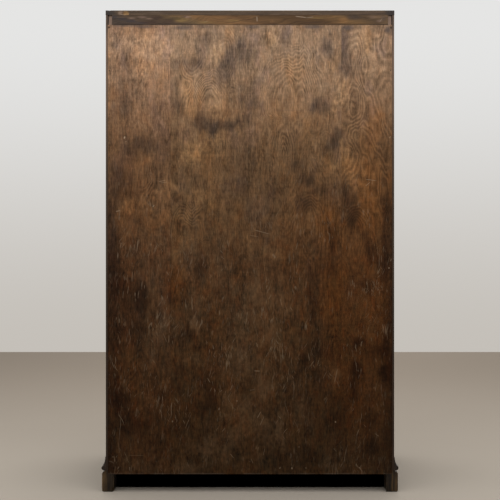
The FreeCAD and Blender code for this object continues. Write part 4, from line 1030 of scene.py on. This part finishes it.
def finely_divided(piece):
    """Cuts the rear face into a fine net, so that it can be painted."""
    low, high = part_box("back_panel")
    rear = high.y - WELD
    alone(piece)
    switch("EDIT")
    bpy.ops.mesh.select_mode(type="FACE")

    def pick(test):
        bpy.ops.mesh.select_all(action="DESELECT")
        switch("OBJECT")
        for face in piece.data.polygons:
            face.select = face.normal.y > 0.9 and face.center.y > rear and test(face)
        switch("EDIT")

    columns = lines_between(low.x + SIDE_MARGIN, high.x - SIDE_MARGIN, NET_STEP)
    rows = lines_between(low.z + END_MARGIN, high.z - END_MARGIN, NET_STEP)
    cuts = [((x, 0, 0), (1, 0, 0)) for x in columns]
    cuts += [((0, 0, z), (0, 0, 1)) for z in rows]
    for place, normal in cuts:
        pick(lambda face: True)
        bpy.ops.mesh.bisect(plane_co=place, plane_no=normal)
    pick(lambda face: len(face.vertices) == 4 and columns[0] < face.center.x < columns[-1]
         and rows[0] < face.center.z < rows[-1])
    bpy.ops.mesh.subdivide(number_cuts=NET_CUTS)
    switch("OBJECT")


def build_back():
    """The plywood back: its net, its stains and its finish."""
    piece = copied("back_panel")
    finely_divided(piece)
    eased(piece, FINE_EDGE)
    bpy.ops.object.shade_flat()
    bpy.ops.mesh.customdata_custom_splitnormals_clear()
    painted(piece, "smoke", SMOKE)
    painted(piece, "pale", PALE_PATCHES)
    painted(piece, "red", RED_PATCHES)
    painted(piece, "figured", FIGURED)
    carved(piece, FIGURE_HILLS)
    return placed(piece, "back_panel", stained_plywood())


TOP_CHIPS = (
    ((back_x(124.5), 0.2715, back_z(13.6)), (0.016, 0.004, 0.0065), (0, 0.1, 0)),
    ((back_x(109), 0.272, 1.7865), (0.01, 0.006, 0.0055), (0.3, 0, 0.2)),
    ((back_x(330), 0.272, 1.786), (0.012, 0.005, 0.0045), (0.2, 0.1, 0.1)),
)
KNOCKED_TOES = (
    ("left", (
        ((-0.5505, 0.235, -0.004), (0.01, 0.045, 0.011), (0, 0.5, 0)),
        ((-0.527, 0.267, -0.001), (0.03, 0.007, 0.0065), (0.3, 0, 0)))),
    ("right", (
        ((0.5505, 0.238, -0.0035), (0.011, 0.04, 0.012), (0, -0.5, 0)),
        ((0.504, 0.262, 0.001), (0.006, 0.012, 0.02), (0, 0.2, 0.3)),
        ((0.53, 0.267, -0.001), (0.024, 0.007, 0.006), (0.3, 0, 0)))),
)


def build_carcase():
    """The carcase, its base and its boards, inside and out."""
    top = timber("top_board_wood", "x", *TOP, dust=0.3, marks_and_shade=weathered_ends)
    upright = timber("oak_upright", "z", *OAK)
    rear_upright = timber("oak_rear_upright", "z", *OAK, marks_and_shade=lips_rebate_and_groove_shadow)
    moulding_x = timber("moulding_front", "x", *MOULDING_WITH_PAINTED_SHADE, shift=0.4)
    moulding_y = timber("moulding_sides", "y", *MOULDING_WITH_PAINTED_SHADE, shift=0.9)
    crossing = timber("oak_crossing", "x", *OAK, shift=0.7)
    deepwise = timber("oak_deepwise", "y", *OAK, shift=1.1)
    side_panel = timber("oak_side_panel", "z", *OAK_PANEL, ring_lines=60, shift=2.3)
    foot = timber("foot_wood", "z", *FOOT, wear=0.8, contrast=1.5, marks_and_shade=rubbed_and_shaded_foot)
    inside_x = timber("inside_boards", "x", *INSIDE, polish=0.62, wear=0.3, dust=0.15, shift=1.7)
    inside_y = timber("inside_bearers", "y", *INSIDE, polish=0.62, wear=0.3, shift=2.9)
    worn_board("top_board", top, chips=TOP_CHIPS)
    worn_board("rear_top_rail", figured_rail(), FINE_EDGE)
    build_back()
    for side in ("left", "right"):
        worn_board(f"{side}_front_stile", upright)
        worn_board(f"{side}_rear_stile", rear_upright, FINE_EDGE)
        worn_board(f"{side}_side_rails", deepwise)
        worn_board(f"{side}_side_panel", side_panel, FINE_EDGE)
        worn_board(f"front_{side}_foot", foot)
    for side, chips in KNOCKED_TOES:
        worn_board(f"rear_{side}_foot", foot, chips=chips)
    for node in ("front_top_rail", "front_bottom_rail"):
        worn_board(node, crossing)
    worn_board("base_moulding_front", moulding_x)
    worn_board("base_moulding_sides", moulding_y)
    for node in ("floor_board", "hat_shelf", "rear_bottom_rail", "door_stop_strip"):
        worn_board(node, inside_x)
    worn_board("shelf_bearers", inside_y)
    finish_node("foot_dowels", timber("dowel_wood", "z", *BEECH, polish=0.6, wear=0))


def build_doors():
    """The doors' frames and panels."""
    upright = timber("door_upright", "z", *OAK, shift=3.3)
    crossing = timber("door_crossing", "x", *OAK, shift=4.1)
    panel = timber("door_panel", "z", *OAK_PANEL, ring_lines=64, shift=5.9, marks_and_shade=shaded_slopes)
    for side in ("left", "right"):
        worn_board(f"{side}_door_hinge_stile", upright)
        worn_board(f"{side}_door_meeting_stile", upright)
        for rail in ("top", "lock", "bottom"):
            worn_board(f"{side}_door_{rail}_rail", crossing)
        worn_board(f"{side}_door_upper_panel", panel, FINE_EDGE)
        worn_board(f"{side}_door_lower_panel", panel, FINE_EDGE)


def finish_metals():
    """Brass and steel for the hardware, the pins and the hanging rail."""
    brass = metal("aged_brass", tone(120, 92, 52), tone(196, 160, 98), 0.3, tone(70, 54, 34), 0.7)
    steel = metal("dull_steel", tone(104, 100, 96), tone(150, 147, 142), 0.42, tone(66, 56, 48), 0.5)
    plated = metal("plated_rail", tone(150, 147, 140), tone(188, 184, 176), 0.22, tone(110, 98, 84), 0.35)
    dark_pins = metal("dark_pins", tone(52, 44, 38), tone(96, 88, 80), 0.5, tone(40, 30, 24), 0.6)
    for node, slot in SLOT_OF.items():
        if slot == "aged_brass":
            finish_node(node, brass)
        elif slot == "dull_steel":
            finish_node(node, steel)
    finish_node("back_panel_pins", dark_pins)
    finish_node("hanging_rail", plated)


# Stage, light and camera

FLOOR_TONES = (tone(166, 159, 150), tone(173, 166, 157))
# Painted shade: the floor is darkened towards the wall, away from the lamps.
FLOOR_FAR_SHADE = tone(139, 130, 120)
FLOOR_SHADE_FADE = (1.2, -2.6)
FLOOR_REACH = 60
# Painted shadow: the floor is black under the wardrobe within these bounds, fading at their edges.
SHADE_SIDES = (0.566, 0.534)
SHADE_REAR = (0.216, 0.203)
SHADE_FRONT = (-0.25, -0.19)


def one_sided(f):
    """Lets the view through a stage surface from its back."""
    behind = f.node("ShaderNodeNewGeometry").outputs["Backfacing"]
    clear = f.node("ShaderNodeBsdfTransparent").outputs[0]
    mixed = f.fed(f.node("ShaderNodeMixShader"), behind, f.shader.outputs[0], clear)
    output = next(n for n in f.tree.nodes if n.type == "OUTPUT_MATERIAL")
    f.feed(output.inputs["Surface"], mixed.outputs[0])


def build_floor():
    """A pale floor that ends where the photograph's wall begins, with painted shade that darkens it towards
    the wall and a black painted shadow under the wardrobe.
    """
    f = Finish("pale_floor", Roughness=0.9, Specular_IOR_Level=0)
    place = f.place()
    x, y, _ = f.axes(place)
    pale = f.mix(f.noise(place, (1.5, 1.5, 1.5), detail=3), *FLOOR_TONES)
    # Painted shade: the floor darkens towards the wall.
    pale = f.mix(f.span(y, *FLOOR_SHADE_FADE), pale, FLOOR_FAR_SHADE)
    # Painted shadow: black floor under the wardrobe.
    under = f.times(f.span(f.unsigned(x), *SHADE_SIDES), f.span(y, *SHADE_REAR), f.span(y, *SHADE_FRONT))
    f.colour(f.mix(under, pale, tone(0, 0, 0)))
    one_sided(f)
    camera_y = REAR_PLANE + CAMERA_DISTANCE
    eye = back_z(EYE_ROW)
    wall_y = camera_y - eye * CAMERA_DISTANCE / ((FLOOR_END_ROW - EYE_ROW) * PIXEL)
    bpy.ops.object.select_all(action="DESELECT")
    bpy.ops.mesh.primitive_plane_add(size=1, location=(0, 0, 0))
    floor = bpy.context.object
    floor.name = "floor"
    floor.scale = (2 * FLOOR_REACH, FLOOR_REACH - wall_y, 1)
    floor.location = (0, (FLOOR_REACH + wall_y) / 2, 0)
    bpy.ops.object.transform_apply(location=True, rotation=True, scale=True)
    floor.data.materials.append(f.material)


WALL_HIGH = tone(229, 229, 228)
WALL_LOW = tone(196, 191, 184)
WALL_RISE = (-0.17, 0.22)
ROOM_LIGHT = (1, 0.98, 0.95, 1)
AMBIENT = 0.72
LAMP_LIGHT = (1, 0.97, 0.92)
LAMPS = (
    ("ceiling_lamp", (0, 0.9, 2.75), (0, 0.55, 0), (3.2, 1.6), 34),
    ("front_ceiling_lamp", (0, -1.2, 2.75), (0, -0.8, 0), (3.2, 1.6), 34),
    ("camera_side_fill", (0.6, 4.2, 1.9), (0, 0, 0.9), (2.4, 1.6), 12),
    ("door_side_fill", (-0.8, -4.2, 1.9), (0, 0, 0.9), (2.4, 1.6), 30),
)


def build_world():
    """Soft light from all round, with the photograph's pale wall behind the wardrobe."""
    world = bpy.data.worlds.new("studio")
    bpy.context.scene.world = world
    world.use_nodes = True
    f = Pattern(world.node_tree)
    world.node_tree.nodes.clear()
    direction = f.node("ShaderNodeTexCoord").outputs["Generated"]
    rise = f.axes(direction)[2]
    wall = f.fed(f.node("ShaderNodeBackground"), f.mix(f.span(rise, *WALL_RISE), WALL_LOW, WALL_HIGH), 1)
    room = f.fed(f.node("ShaderNodeBackground"), ROOM_LIGHT, AMBIENT)
    seen = f.node("ShaderNodeLightPath").outputs
    shown = f.highest(*(seen[f"Is {kind} Ray"] for kind in ("Camera", "Glossy", "Transmission")))
    both = f.fed(f.node("ShaderNodeMixShader"), shown, room.outputs[0], wall.outputs[0])
    f.fed(f.node("ShaderNodeOutputWorld"), both.outputs[0])


def add_lamp(name, place, target, size, power):
    """A soft rectangular lamp that the camera doesn't see."""
    lamp = bpy.data.lights.new(name, "AREA")
    lamp.shape = "RECTANGLE"
    lamp.size, lamp.size_y = size
    lamp.energy = power
    lamp.color = LAMP_LIGHT
    holder = linked(name, lamp)
    holder.location = place
    holder.rotation_euler = (Vector(target) - Vector(place)).to_track_quat("-Z", "Y").to_euler()
    holder.visible_camera = False


def build_camera():
    """Level, square to the back, with the horizon above the picture's middle."""
    lens = bpy.data.cameras.new("camera")
    lens.sensor_width = SENSOR
    lens.lens = SENSOR * CAMERA_DISTANCE / (PICTURE_SIDE * PIXEL)
    lens.shift_y = (EYE_ROW - PICTURE_SIDE / 2) / PICTURE_SIDE
    camera = linked("camera", lens)
    camera.location = (0, REAR_PLANE + CAMERA_DISTANCE, back_z(EYE_ROW))
    camera.rotation_euler = (math.radians(90), 0, math.radians(180))
    bpy.context.scene.camera = camera


build_carcase()
build_doors()
finish_metals()
build_floor()
build_world()
for lamp in LAMPS:
    add_lamp(*lamp)
build_camera()
bpy.context.scene.view_settings.view_transform = "Standard"
